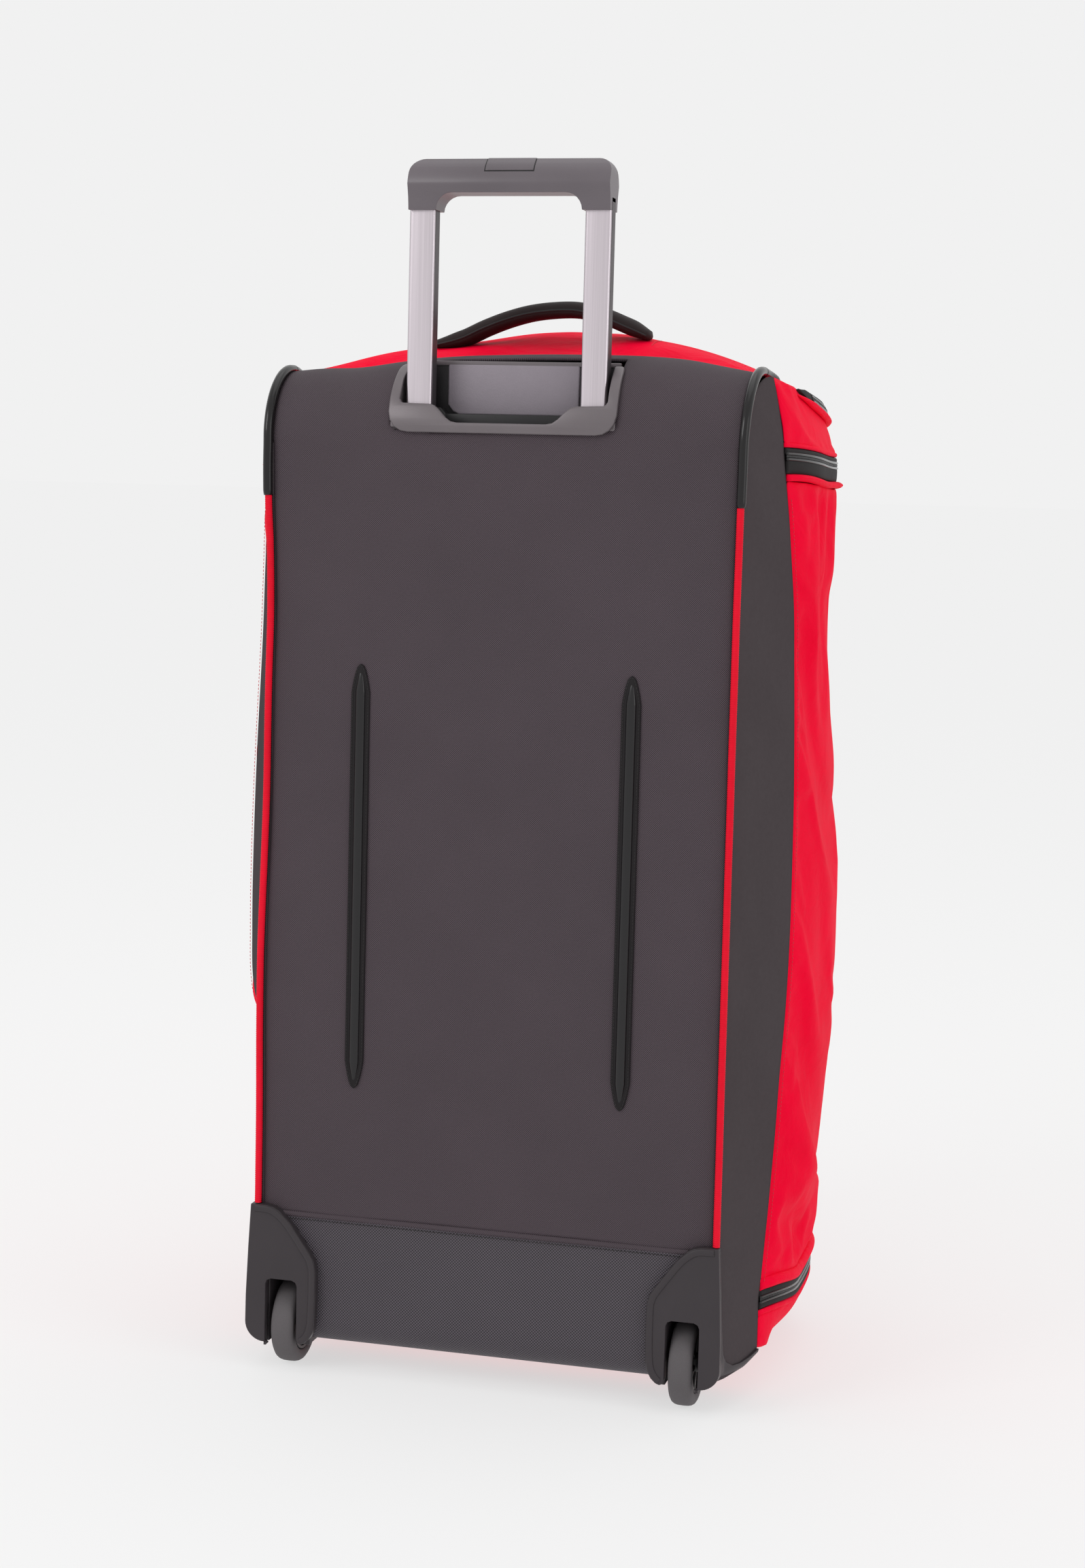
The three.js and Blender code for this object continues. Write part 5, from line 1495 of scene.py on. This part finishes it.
parts = [plate]
for sx in (-1, 1):
    hw_ = prism("hw", rrect(sx * 85 - 3, sx * 85 + 3, -0.5, 37.5, 1.5), "z", 748.5, 796, "root", MAT["bezel"], bev=0.8, seg=2)
    cut_at(hw_, 2, RZ)
    roll_in(hw_, False)
    parts.append(hw_)
# dark block below the raised field in the hub colour: painted shade of the groove under it
parts.append(prism("hb", [(-86, 743.5), (86, 743.5), (86, 760), (-86, 760)], "y", 24.5, 37, "root", MAT["hub"], bev=0.5, seg=2))
parts.append(prism("hf", [(-86, 747), (86, 747), (86, 751.8), (-86, 751.8)], "y", 0, 37, "root", MAT["plastic"]))
for sx in (-1, 1):
    c = sx * TUBE_X
    # dark seats round the tubes: painted shade of the gap between tube and raised field
    parts.append(prism("hs", [(c - 17, 750), (c + 17, 750), (c + 17, 760), (c + 13, 764.5), (c - 13, 764.5), (c - 17, 760)], "y", 24.2, 33, "root", MAT["hub"], bev=1, seg=2))
    parts.append(prism("hc", [(c - 16, 750), (c + 16, 750), (c + 16, 759.5), (c - 16, 759.5)], "y", 0.3, 7.2, "root", MAT["plastic"]))
# back wall in the dark hub colour instead of the bezel plastic: painted shade of the deep recess round the raised field
back_w = prism("hr", rrect(-84, 84, 752, 800.2, 4, 4), "y", 32.8, 37.2, "root", MAT["hub"], bev=1.2, seg=3)
parts.append(back_w)
# raised field of the back wall between the tubes, with a slim rail along its top
fieldp = [(-52, 798.6), (-52, 767), (-48, 762.0), (-43, 759.6), (43, 759.6), (48, 762.0), (52, 767), (52, 798.6)]
parts.append(prism("hm", fieldp, "y", 31.3, 34.5, "root", MAT["recess"], bev=1.3, seg=4))
parts.append(prism("ht", rrect(-84, 84, 796.8, 800.4, 1.2, 3), "y", 31.3, 35, "root", MAT["bezel"], bev=0.8, seg=2))
hous = join("housing", parts)
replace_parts(hous, "handle_housing"), hous

# ------------------------------------------------------------------ tubes
for nm, sg in (("left", -1), ("right", 1)):
    c = sg * TUBE_X
    o = []
    sec2 = rrect(c - 10, c + 10, TUBE_Y - 7.5, TUBE_Y + 7.5, 2.2, 5)
    inn = rrect(c - 8.8, c + 8.8, TUBE_Y - 6.3, TUBE_Y + 6.3, 1.4, 3)
    t = prism("tube_" + nm, sec2, "z", 351, 921, "trolley", MAT["alu"], replaces=("inner_tube_" + nm,), holes=(inn,))
    # dark strips over both side faces of each tube: painted shade of the side faces
    for k, sx in enumerate((-1, 1)):
        x0 = c + sx * 9.9
        prism(f"tube_inlay_{nm}_{k}", rrect(min(x0, x0 + sx * 0.35), max(x0, x0 + sx * 0.35), TUBE_Y - 5.2, TUBE_Y + 5.2, 0.12, 1), "z", 352, 918, "trolley", MAT["tube_side"])

# ------------------------------------------------------------------ grip
def grip_mesh():
    """Arched grip: side profile swept across, legs included, rounded everywhere by a bevel."""
    x, z0, z1 = 78.4, 911.5, 950.0
    pts = [(-x, z0), (-56.6, z0)]
    pts += [(-56.6 + 12.5 - 12.5 * math.cos(a), z0 + 12.5 * math.sin(a)) for a in np.linspace(0, math.pi / 2, 7)[1:]]
    pts += [(-20, z0 + 12.6), (0, z0 + 12.7), (20, z0 + 12.6)]
    pts += [(56.6 - 12.5 + 12.5 * math.cos(a), z0 + 12.5 * math.sin(a)) for a in np.linspace(math.pi / 2, 0, 7)[:-1]]
    pts += [(56.6, z0), (x, z0)]
    r = 11
    pts += [(x - r + r * math.cos(a), z1 - r + r * math.sin(a)) for a in np.linspace(0, math.pi / 2, 8)]
    pts += [(-x + r - r * math.sin(a), z1 - r + r * math.cos(a)) for a in np.linspace(0, math.pi / 2, 8)]
    ob = prism("grip_body", pts, "y", 0.6, 30.4, None, MAT["grip"])
    # profile (front face leaning back above a crease, lower face tucked under) is shaped after this function; here the
    # vertices are only read
    me = ob.data
    co = np.empty(len(me.vertices) * 3)
    me.vertices.foreach_get("co", co)
    return ob


grip = grip_mesh()
bm = bmesh.new()
bm.from_mesh(grip.data)
# extra loops along y and z so the profile can be shaped
for yv in (-0.1885, -0.186, -0.182, -0.178, -0.1745, -0.171, -0.167, -0.163, -0.161):
    bmesh.ops.bisect_plane(bm, geom=bm.verts[:] + bm.edges[:] + bm.faces[:], plane_co=(0, yv, 0), plane_no=(0, 1, 0))
for zv in (0.9165, 0.921, 0.9255, 0.9285, 0.9305, 0.9325, 0.936, 0.9395, 0.943, 0.946, 0.9485):
    bmesh.ops.bisect_plane(bm, geom=bm.verts[:] + bm.edges[:] + bm.faces[:], plane_co=(0, 0, zv), plane_no=(0, 0, 1))
bm.to_mesh(grip.data)
bm.free()
me = grip.data
co = np.empty(len(me.vertices) * 3)
me.vertices.foreach_get("co", co)
co = co.reshape(-1, 3)
yc = -0.190 + 0.0155
zz = co[:, 2]
# half depth by height: full at the crease, rounding off at the top, slimmer at the legs
hd = np.interp(zz, [0.9115, 0.9165, 0.921, 0.9255, 0.9305, 0.9325, 0.936, 0.9395, 0.943, 0.946, 0.9485, 0.950], [0.0112, 0.0117, 0.0124, 0.0136, 0.0151, 0.0148, 0.0136, 0.0119, 0.0098, 0.0074, 0.0045, 0.0028])
rel = (co[:, 1] - yc) / 0.0149
co[:, 1] = yc + rel * hd
me.vertices.foreach_set("co", co.ravel())
me.update()
bevel(grip, 0.9, 3, 32)
grip.data.set_sharp_from_angle(angle=math.radians(30))
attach(grip, "trolley"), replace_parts(grip, "grip"), grip
# button: a patch of the top facet standing slightly proud; a slightly larger dark sheet under it shows round its edge
# as painted shade of the gap
def facet(x, q, lift):
    """Point on the grip's upper surface: q from -1 (front) to 1 (rear)."""
    zt = np.interp(abs(q), [0, 0.19, 0.30, 0.50, 0.66, 0.80, 0.91, 1.0], [0.950, 0.950, 0.9485, 0.946, 0.943, 0.9395, 0.936, 0.9315])
    return (x, yc + q * 0.0149, zt)


# the first sheet is dark hub plastic: painted shade of the gap round the button
for nm, half, mat, lift, q0, q1 in (("button_gap", 19.4, MAT["hub"], 0.12, -0.80, 0.80), ("button_cap", 18.6, MAT["grip"], 0.45, -0.765, 0.765)):
    V_, UVb = [], []
    qs = np.linspace(q0, q1, 21)
    xs = np.linspace(-half, half, 15)
    for xx in xs:
        for q in qs:
            a = facet(xx / 1000, q, 0)
            b0, b1 = facet(0, q - 0.02, 0), facet(0, q + 0.02, 0)
            t = np.array([0, b1[1] - b0[1], b1[2] - b0[2]])
            t /= np.linalg.norm(t)
            nn = np.array([0, -t[2], t[1]])
            V_.append(np.array(a) + nn * lift / 1000)
    ob = make(nm, V_, grid_faces(len(xs), len(qs)), None, mat)
    bm = bmesh.new()
    bm.from_mesh(ob.data)
    bmesh.ops.recalc_face_normals(bm, faces=bm.faces)
    if sum(f.normal.z for f in bm.faces) < 0:
        bmesh.ops.reverse_faces(bm, faces=bm.faces)
    bm.to_mesh(ob.data)
    bm.free()
    solidify(ob, 1.2 if nm == "button_cap" else 0.6)
    if nm == "button_cap":
        bevel(ob, 0.3, 2, 40)
        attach(ob, "button"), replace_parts(ob, "release_button"), ob
    else:
        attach(ob, "trolley")

# ------------------------------------------------------------------ wheel housings, wheels, feet
WX, WY, WZ = 161.5, 24.0, 34.0
for nm, sg in (("left", -1), ("right", 1)):
    o = [(189.0, 134.2), (176, 134.0), (170, 132.8), (165, 130.2), (156, 121.5), (139.5, 98.5), (135.6, 92), (134, 84), (133.8, 60), (134.4, 40), (136, 33), (139, 27.6), (142.6, 24.2), (146, 22.8), (148.6, 24.0), (149.6, 27.5)]
    slot_ = [(149.6, 70), (150.8, 73), (154, 74.4), (171.5, 74.4), (174.6, 73), (175.8, 70), (175.8, 22.2)]
    o2 = [(176.6 + 16 * math.sin(a_), 38.2 - 16 * math.cos(a_)) for a_ in np.linspace(0, math.pi / 2, 10)] + [(192.4, 60), (190.8, 100)]
    outline = [(sg * a, b) for a, b in o + slot_ + o2]
    face = prism("wh_face", outline, "y", -7.2, 2.0, "root", MAT["plastic"], bev=2.4, seg=4)
    # raised band along the inner, slanted and top edge
    band_path = [(sg * a, -7.0, b) for a, b in [(145.6, 26.0), (142.4, 28.6), (139.4, 34), (137.8, 42), (137.0, 60), (137.2, 83), (138.6, 90.5), (142, 96.8), (158.4, 119.4), (166.8, 127.2), (171.6, 129.8), (177, 130.8), (185.5, 131.0)]]
    bp = smooth_path(band_path, 2.5)
    band = sweep("wh_band", bp, (0, -1, 0), [(-2.7, -0.6), (2.7, -0.6), (2.7, 0.5), (2.0, 1.1), (-2.0, 1.1), (-2.7, 0.5)], "root", MAT["plastic"])
    # body behind the face, open under and behind the wheel
    ob_ = [(141.4, 3), (141.4, 64), (181, 64), (181, 3), (175.4, 3), (175.4, 60.6), (148.8, 60.6), (148.8, 3)]
    bodyb = prism("wh_body", [(sg * a, b) for a, b in ob_], "z", 20, 84, "root", MAT["plastic"], bev=0.8, seg=2)
    roof = prism("wh_roof", [(sg * a, b) for a, b in [(148, 2), (176, 2), (176, 62), (148, 62)]], "z", 74.6, 83.6, "root", MAT["plastic"])
    # outer wrap: down the side, round the corner and back as a lip under the gusset
    V_, UVw = [], []
    ys = np.r_[np.linspace(-7.0, 4, 8), np.linspace(6, 55, 26)]
    nz, nb = 24, 5
    for y in ys:
        ztop = float(np.interp(y, [-7, 1.0, 2.5, 4, 6, 9, 14, 22, 32, 44, 55], [133.6, 133, 112, 80, 60, 48, 39.5, 35, 34.4, 36.4, 39.5]))
        zlow = float(np.interp(y, [-7, 0, 20, 40, 55], [22.2, 21.4, 22.4, 27.0, 34.6]))
        rc = float(np.interp(y, [-7, 6, 55], [16.0, 15.0, 4.6]))
        for j in range(nz):
            v = j / (nz - 1)
            z = zlow + (ztop - zlow) * (1 - (1 - v) ** 1.0)
            base_x = 192.5 - 3.5 * min(1, max(0, (z - 45) / 89))
            sx_ = float(side_x(max(y, 0), max(z, 36), sg < 0)) + 2.2
            t_ = min(1, max(0, (y - 2) / 10))
            x = base_x + (max(base_x, sx_) - base_x) * t_
            d_ = min(rc, max(0.0, zlow + rc - z))
            x -= rc - math.sqrt(max(0.0, rc * rc - d_ * d_))
            if y < -4:
                x -= (1 - math.sqrt(max(0, 1 - ((-4 - y) / 3) ** 2))) * 2.4
            V_.append((sg * x, y, z))
        xe = abs(V_[-nz][0])
        col_ = [V_.pop() for _ in range(nz)][::-1]
        for q_ in range(nb):
            V_.append((sg * (176.5 + (xe - 176.5) * q_ / nb), y, zlow))
        V_ += col_
    wrap = make("wh_wrap", P(V_), grid_faces(len(ys), nz + nb), None, MAT["plastic"])
    outward(wrap, (sg * 150, 30, 90))
    solidify(wrap, 2.2)
    bevel(wrap, 0.6, 2, 40)
    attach(wrap, "root")
    wh = join("wheel_housing_shell_" + nm, [face, band, bodyb, roof, wrap])
    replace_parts(wh, "wheel_housing_" + nm), wh

    def lathe(name, prof, body, mat, n=72, repl=()):
        V, F = [], []
        k = len(prof)
        for i in range(n):
            a = 2 * math.pi * i / n
            for r, x in prof:
                V.append((sg * WX + x, WY + r * math.cos(a), WZ + r * math.sin(a)))
        for i in range(n):
            j = (i + 1) % n
            for q in range(k):
                p_ = (q + 1) % k
                F.append((i * k + q, i * k + p_, j * k + p_, j * k + q))
        ob = make(name, P(V), F, None, mat)
        bm = bmesh.new()
        bm.from_mesh(ob.data)
        bmesh.ops.recalc_face_normals(bm, faces=bm.faces)
        bm.to_mesh(ob.data)
        bm.free()
        ob.data.set_sharp_from_angle(angle=math.radians(38))
        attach(ob, body)
        if repl:
            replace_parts(ob, *repl)
        return ob

    w = 9.5
    tyre = [(24.2, -w + 1.2), (24.2, w - 1.2), (25.2, w - 0.4), (28, w - 0.1), (30.6, w - 0.5), (32.2, w - 1.5), (33.3, w - 3.2), (33.85, w - 5.6), (34.0, 0), (33.85, -w + 5.6), (33.3, -w + 3.2), (32.2, -w + 1.5), (30.6, -w + 0.5), (28, -w + 0.1), (25.2, -w + 0.4)]
    lathe("tyre_" + nm, tyre, "wheel_" + nm, MAT["tyre"], 96, ("wheel_tyre_" + nm,))
    hubp = [(3.5, -w - 0.6), (3.5, w + 0.6), (6.6, w + 0.6), (7.4, w - 0.4), (7.8, w - 3.2), (19.5, w - 3.8), (20.6, w - 2.6), (21.2, w - 0.9), (23.2, w - 0.7), (24.0, w - 1.6), (24.0, -w + 1.6), (23.2, -w + 0.7), (21.2, -w + 0.9), (20.6, -w + 2.6), (19.5, -w + 3.8), (7.8, -w + 3.2), (7.4, -w + 0.4), (6.6, -w - 0.6)]
    hb = lathe("hub_core", hubp, "wheel_" + nm, MAT["hub"], 72)
    spokes = [hb]
    for side in (-1, 1):
        for k in range(6):
            a = math.radians(60 * k + 15)
            ca, sa = math.cos(a), math.sin(a)
            V = []
            for r, hw_ in ((7.0, 1.6), (20.8, 2.2)):
                for t in (-hw_, hw_):
                    for x in (side * (w - 4.6), side * (w - 1.6)):
                        V.append((sg * WX + x, WY + r * ca - t * sa, WZ + r * sa + t * ca))
            F = [(0, 1, 3, 2), (4, 6, 7, 5), (0, 4, 5, 1), (2, 3, 7, 6), (1, 5, 7, 3), (0, 2, 6, 4)]
            sp = make("sp", P(V), F, None, MAT["hub"], smooth=False)
            bm = bmesh.new()
            bm.from_mesh(sp.data)
            bmesh.ops.recalc_face_normals(bm, faces=bm.faces)
            bm.to_mesh(sp.data)
            bm.free()
            bevel(sp, 0.5, 2, 30)
            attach(sp, "wheel_" + nm)
            spokes.append(sp)
    hub = join("hub_" + nm, spokes)
    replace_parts(hub, "wheel_hub_" + nm), hub
    # foot
    f1 = prism("ft1", rrect(sg * 152 - 20, sg * 152 + 20, 228, 276, 9, 6), "z", 0, 5, "root", MAT["tyre"], bev=1.0, seg=3)
    f2 = prism("ft2", rrect(sg * 152 - 22, sg * 152 + 22, 226, 278, 10, 6), "z", 4.5, 22.5, "root", MAT["plastic"], bev=1.6, seg=3)
    ft = join("foot_pad_" + nm, [f1, f2])
    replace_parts(ft, "foot_" + nm), ft

# ------------------------------------------------------------------ ray casting on a finished cloth
from mathutils.bvhtree import BVHTree


def bvh_of(*obs):
    V, F = [], []
    for ob in obs:
        b = len(V)
        V += [tuple(v.co) for v in ob.data.vertices]
        F += [tuple(b + k_ for k_ in p_.vertices) for p_ in ob.data.polygons]
    return BVHTree.FromPolygons(V, F)


top_tree = bvh_of(bpy.data.objects["top_cloth"])


def dome_z(x, y, default=815.0):
    h_ = top_tree.ray_cast(Vector((x / 1000, (y + Y0) / 1000, 1.0)), Vector((0, 0, -1)))
    return h_[0].z * 1000 if h_[0] is not None else default


# soft hinge of the top end: a strip sewn under the roll and under the red cloth, bending between them
V_, UV_ = [], []
hxs, hys = np.linspace(-182, 182, 74), np.linspace(54.5, 78, 11)
for x_ in hxs:
    for y_ in hys:
        zr_ = roll_top(x_) - 3.6 - 0.5 * max(0.0, (58 - y_) / 3.5)
        zt_ = dome_z(x_, max(y_, 62.5), roll_top(x_)) - 3.4
        k_ = float(sst((y_ - 57) / 8))
        V_.append((x_, y_, min(zr_ * (1 - k_) + zt_ * k_, zt_ + (6 if y_ < 60 else 0))))
        UV_.append((x_ / 1000, y_ / 1000))
hs_ = make("flap_hinge_cloth", P(V_), grid_faces(len(hxs), len(hys)), None, MAT["back"], uv=UV_)
outward(hs_, (0, 66, 500))
solidify(hs_, 0.8, MAT["lining"])
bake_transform(hs_)

# ------------------------------------------------------------------ top grab handle: padded cover with sewn edges
HY = 112.0
ctrl = [(-86.5, 806.0), (-80.6, 811.7), (-62.5, 818.6), (-44.6, 828.0), (-26.9, 835.4), (-9.1, 840.6), (8.7, 843.2), (26.5, 843.8), (39.8, 841.8), (53.2, 837.6), (66.6, 831.2), (80.0, 823.6), (88.9, 815.5)]
zl_, zr_ = dome_z(-84, HY) + 1.0, dome_z(88.9, HY) + 2.6
cz = [c_[1] for c_ in ctrl]
pts = []
for k_, (x, z) in enumerate(ctrl):
    fl = math.exp(-k_ / 1.6) * (zl_ - cz[0]) + math.exp(-(len(ctrl) - 1 - k_) / 1.6) * (zr_ - cz[-1])
    pts.append((x, HY, z + fl))
pts = smooth_path(pts, 2.6)


def pad_sec(i, s, T):
    t = min(1, max(0, s / T))
    k = max(0.0, min(1.0, (s + 1.5) / 26, (T - s + 1.5) / 20))
    k = k * k * (3 - 2 * k)
    w, h = 10.0 + 4.0 * k, 4.3 + 2.9 * k
    e = min(1.0, (s + 0.3) / 3.0, (T - s + 0.3) / 3.0)
    e = math.sqrt(max(0.05, 1 - (1 - e) ** 2))
    pts_ = []
    for a in np.linspace(0, 2 * math.pi, 28, endpoint=False):
        ca, sa = math.cos(a), math.sin(a)
        pts_.append((w * e * math.copysign(abs(ca) ** 0.8, ca), h * e * math.copysign(abs(sa) ** 0.75, sa) * (1.0 if sa > 0 else 0.8)))
    return pts_


grab = sweep("grab_pad", pts, (0, 0, 1), pad_sec, "top_grab", MAT["handle"], replaces=("top_handle",))
Ltot = sum(float(np.linalg.norm(np.subtract(b, a))) for a, b in zip(pts[:-1], pts[1:]))
for k, sy in enumerate((-1, 1)):
    ep, run = [], 0.0
    for i, p_ in enumerate(pts):
        if i:
            run += float(np.linalg.norm(np.subtract(pts[i], pts[i - 1])))
        kk = max(0.0, min(1.0, (run + 1.5) / 26, (Ltot - run + 1.5) / 20))
        kk = kk * kk * (3 - 2 * kk)
        if 2.5 < run < Ltot - 2.5:
            ep.append((p_[0], HY + sy * (10.0 + 4.0 * kk + 0.1), p_[2] - 0.3))
    sweep(f"grab_welt_{k}", ep, (0, 0, 1), circle(0.9, 8), "top_grab", MAT["thread"])
# sewn seams across the red cloth just outside each end of the handle
for k, xs_ in enumerate((-91.5, 93.5)):
    path = [(xs_, HY + v, dome_z(xs_, HY + v) + 0.15) for v in np.linspace(-20, 20, 24)]
    stitches(f"grab_stitch_{k}", path, (0, 0, 1), "top_flap", MAT["thread_red"], pitch=3.2, length=2.4, width=0.6)

# ------------------------------------------------------------------ carry handles on the lid
lid_tree = bvh_of(bpy.data.objects["lid_cloth"])


def lid_y(x, z):
    h_ = lid_tree.ray_cast(Vector((x / 1000, 0.6, z / 1000)), Vector((0, -1, 0)))
    return h_[0].y * 1000 - Y0 if h_[0] is not None else float(front_y(x, z))


for nm, sg in (("left", -1), ("right", 1)):
    x = sg * 82.0
    pts = []
    for t in np.linspace(0, 1, 71):
        z = 300 + 220 * t
        out = 3.4 + 31 * math.sin(math.pi * min(1, max(0, (t - 0.06) / 0.88))) ** 0.62
        pts.append((x, lid_y(x, 300) * (1 - t) + lid_y(x, 520) * t + out, z))

    def csec(i, s, T):
        t = s / T
        w = 4 + 8 * math.sin(math.pi * min(1, max(0, t))) ** 0.6
        fat = 1.5 + 2.6 * math.exp(-(((t - 0.5) / 0.16) ** 4))
        return [(w * math.cos(a), fat * math.copysign(abs(math.sin(a)) ** 0.7, math.sin(a))) for a in np.linspace(0, 2 * math.pi, 16, endpoint=False)]

    ch = sweep("carry_strap_" + nm, pts, (0, 1, 0), csec, "carry_" + nm, MAT["webbing"], replaces=("carry_handle_" + nm,))
    for q, zc_ in enumerate((292, 528)):
        V_ = []
        for u in np.linspace(-15, 15, 9):
            for v in np.linspace(-20, 20, 11):
                V_.append((x + u, lid_y(x + u, zc_ + v) + 1.0, zc_ + v))
        an = make(f"carry_anchor_{nm}_{q}", P(V_), grid_faces(9, 11), None, MAT["webbing"], uv=np.array(V_)[:, [0, 2]] / 1000)
        outward(an, (0, 150, zc_))
        solidify(an, 2.4)
        bevel(an, 0.6, 2, 40)
        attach(an, "lid")

# ------------------------------------------------------------------ dividers of the end pockets: lining cloth following the shell
for nm, zd, yb in (("top", 694.8, 40.0), ("bottom", 104.8, 54.0)):
    half = []
    L_ = plan_len(zd)
    for q_ in np.linspace(0, 1, 46):
        x_, y_ = on_plan(zd, L_ * q_)
        x_, y_ = float(x_), float(y_)
        d_ = math.hypot(x_, y_ - 160)
        k_ = (d_ - 10) / d_
        x_, y_ = x_ * k_, 160 + (y_ - 160) * k_
        w_ = float(sst((y_ - 72) / 95) * sst((x_ - 150) / 45))
        x_ -= float(pull_in(zd)) * w_
        if y_ > yb:
            half.append((x_, y_))
    loop_ = [(half[0][0], yb)] + half + [(-a_, b_) for a_, b_ in half[:-1][::-1]] + [(-half[0][0], yb)]
    loop_ += [(q_, yb) for q_ in np.linspace(-half[0][0], half[0][0], 22)[1:-1]]
    V_, F_ = [], []
    n_ = len(loop_)
    for k_ in range(12):
        t_ = 1 - k_ / 12
        for a_, b_ in loop_:
            x_, y_ = a_ * t_, 170 + (b_ - 170) * t_
            V_.append((x_, y_, zd - 1.6 * (1 - t_) * t_ * 4 + 0.4 * math.sin(x_ * 0.05) * math.sin(y_ * 0.06) * (1 - t_)))
    V_.append((0, 170, zd))
    for k_ in range(11):
        for i_ in range(n_):
            j_ = (i_ + 1) % n_
            F_.append((k_ * n_ + i_, k_ * n_ + j_, (k_ + 1) * n_ + j_, (k_ + 1) * n_ + i_))
    for i_ in range(n_):
        F_.append((11 * n_ + i_, 11 * n_ + (i_ + 1) % n_, 12 * n_))
    dv = make(nm + "_divider_cloth", P(V_), F_, None, MAT["lining"], uv=np.array(V_)[:, :2] / 1000)
    outward(dv, (0, 170, zd - 300))
    solidify(dv, 1.2)
    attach(dv, "root"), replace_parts(dv, nm + "_divider"), dv

# ------------------------------------------------------------------ materials for the CAD nodes that stay
KEEP = {
    "back_board": "board", "outer_tube_left": "alu", "outer_tube_right": "alu",
    "slide_block_left": "plastic", "slide_block_right": "plastic", "lock_pin_left": "steel", "lock_pin_right": "steel", "push_rod_left": "steel",
    "push_rod_right": "steel", "button_spring": "steel", "tube_bracket": "plastic", "wheel_axle_left": "steel", "wheel_axle_right": "steel",
    "main_zip_slider": "zinc", "main_zip_pull": "zinc", "upper_zip_slider": "zinc", "upper_zip_pull": "zinc", "lower_zip_slider": "zinc", "lower_zip_pull": "zinc",
}
for node, key in KEEP.items():
    o = N[node]
    for s_ in o.material_slots:
        s_.material = MAT[key]
    if not o.material_slots:
        o.data.materials.append(MAT[key])

# ------------------------------------------------------------------ stage, light, camera
def plane(name, size, z, mat):
    me = bpy.data.meshes.new(name)
    s = size / 2
    me.from_pydata([(-s, -s, z), (s, -s, z), (s, s, z), (-s, s, z)], [], [(0, 1, 2, 3)])
    ob = bpy.data.objects.new(name, me)
    me.materials.append(mat)
    SCENE.collection.objects.link(ob)
    ob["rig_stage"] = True
    return ob


fm = M("floor", rough=1.0, spec=0.0)
fm.out((0.3, 0.3, 0.3, 1))
fm.b.inputs["Emission Color"].default_value = (1, 1, 1, 1)
fm.b.inputs["Emission Strength"].default_value = 0.607
plane("floor", 400, -0.0005, fm.m)

world = bpy.data.worlds.new("studio")
SCENE.world = world
world.use_nodes = True
bg = world.node_tree.nodes["Background"]
bg.inputs[0].default_value = (1, 1, 1, 1)
bg.inputs[1].default_value = 0.88


def area(name, loc, target, size, power, color=(1, 1, 1)):
    d = bpy.data.lights.new(name, "AREA")
    d.shape = "RECTANGLE"
    d.size, d.size_y = size
    d.energy = power
    d.color = color
    o = bpy.data.objects.new(name, d)
    SCENE.collection.objects.link(o)
    o.location = loc
    o.rotation_euler = (Vector(target) - Vector(loc)).to_track_quat("-Z", "Y").to_euler()
    return o


area("key", (-1.9, -2.4, 2.2), (0, 0, 0.45), (1.3, 1.3), 23)
area("fill", (2.6, -1.2, 1.3), (0, 0, 0.45), (1.2, 1.8), 8)
area("top", (0.2, 0.2, 3.0), (0, 0, 0.6), (2.0, 2.0), 8)

cam_d = bpy.data.cameras.new("camera")
cam = bpy.data.objects.new("camera", cam_d)
SCENE.collection.objects.link(cam)
AZ, EL, ROLLA = math.radians(14.42), math.radians(6.455), math.radians(1.524)
C = Vector((0.5356, -1.9302 - 0.190, 0.7069))
fwd = Vector((-math.sin(AZ) * math.cos(EL), math.cos(AZ) * math.cos(EL), -math.sin(EL)))
right = Vector((math.cos(AZ), math.sin(AZ), 0))
up = right.cross(fwd)
r2 = right * math.cos(ROLLA) + up * math.sin(ROLLA)
u2 = up * math.cos(ROLLA) - right * math.sin(ROLLA)
mat = Matrix((r2, u2, -fwd)).transposed().to_4x4()
mat.translation = C
cam.matrix_world = mat
cam_d.sensor_fit = "VERTICAL"
cam_d.sensor_height = 24
cam_d.lens = 24 * 3877 / 2307
cam_d.clip_start = 0.05
SCENE.camera = cam
SCENE.view_settings.view_transform = "Standard"
SCENE.view_settings.look = "None"

b1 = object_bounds()
{"cad": [list(map(float, v)) for v in CAD_BOX], "visual": [list(map(float, v)) for v in b1]}
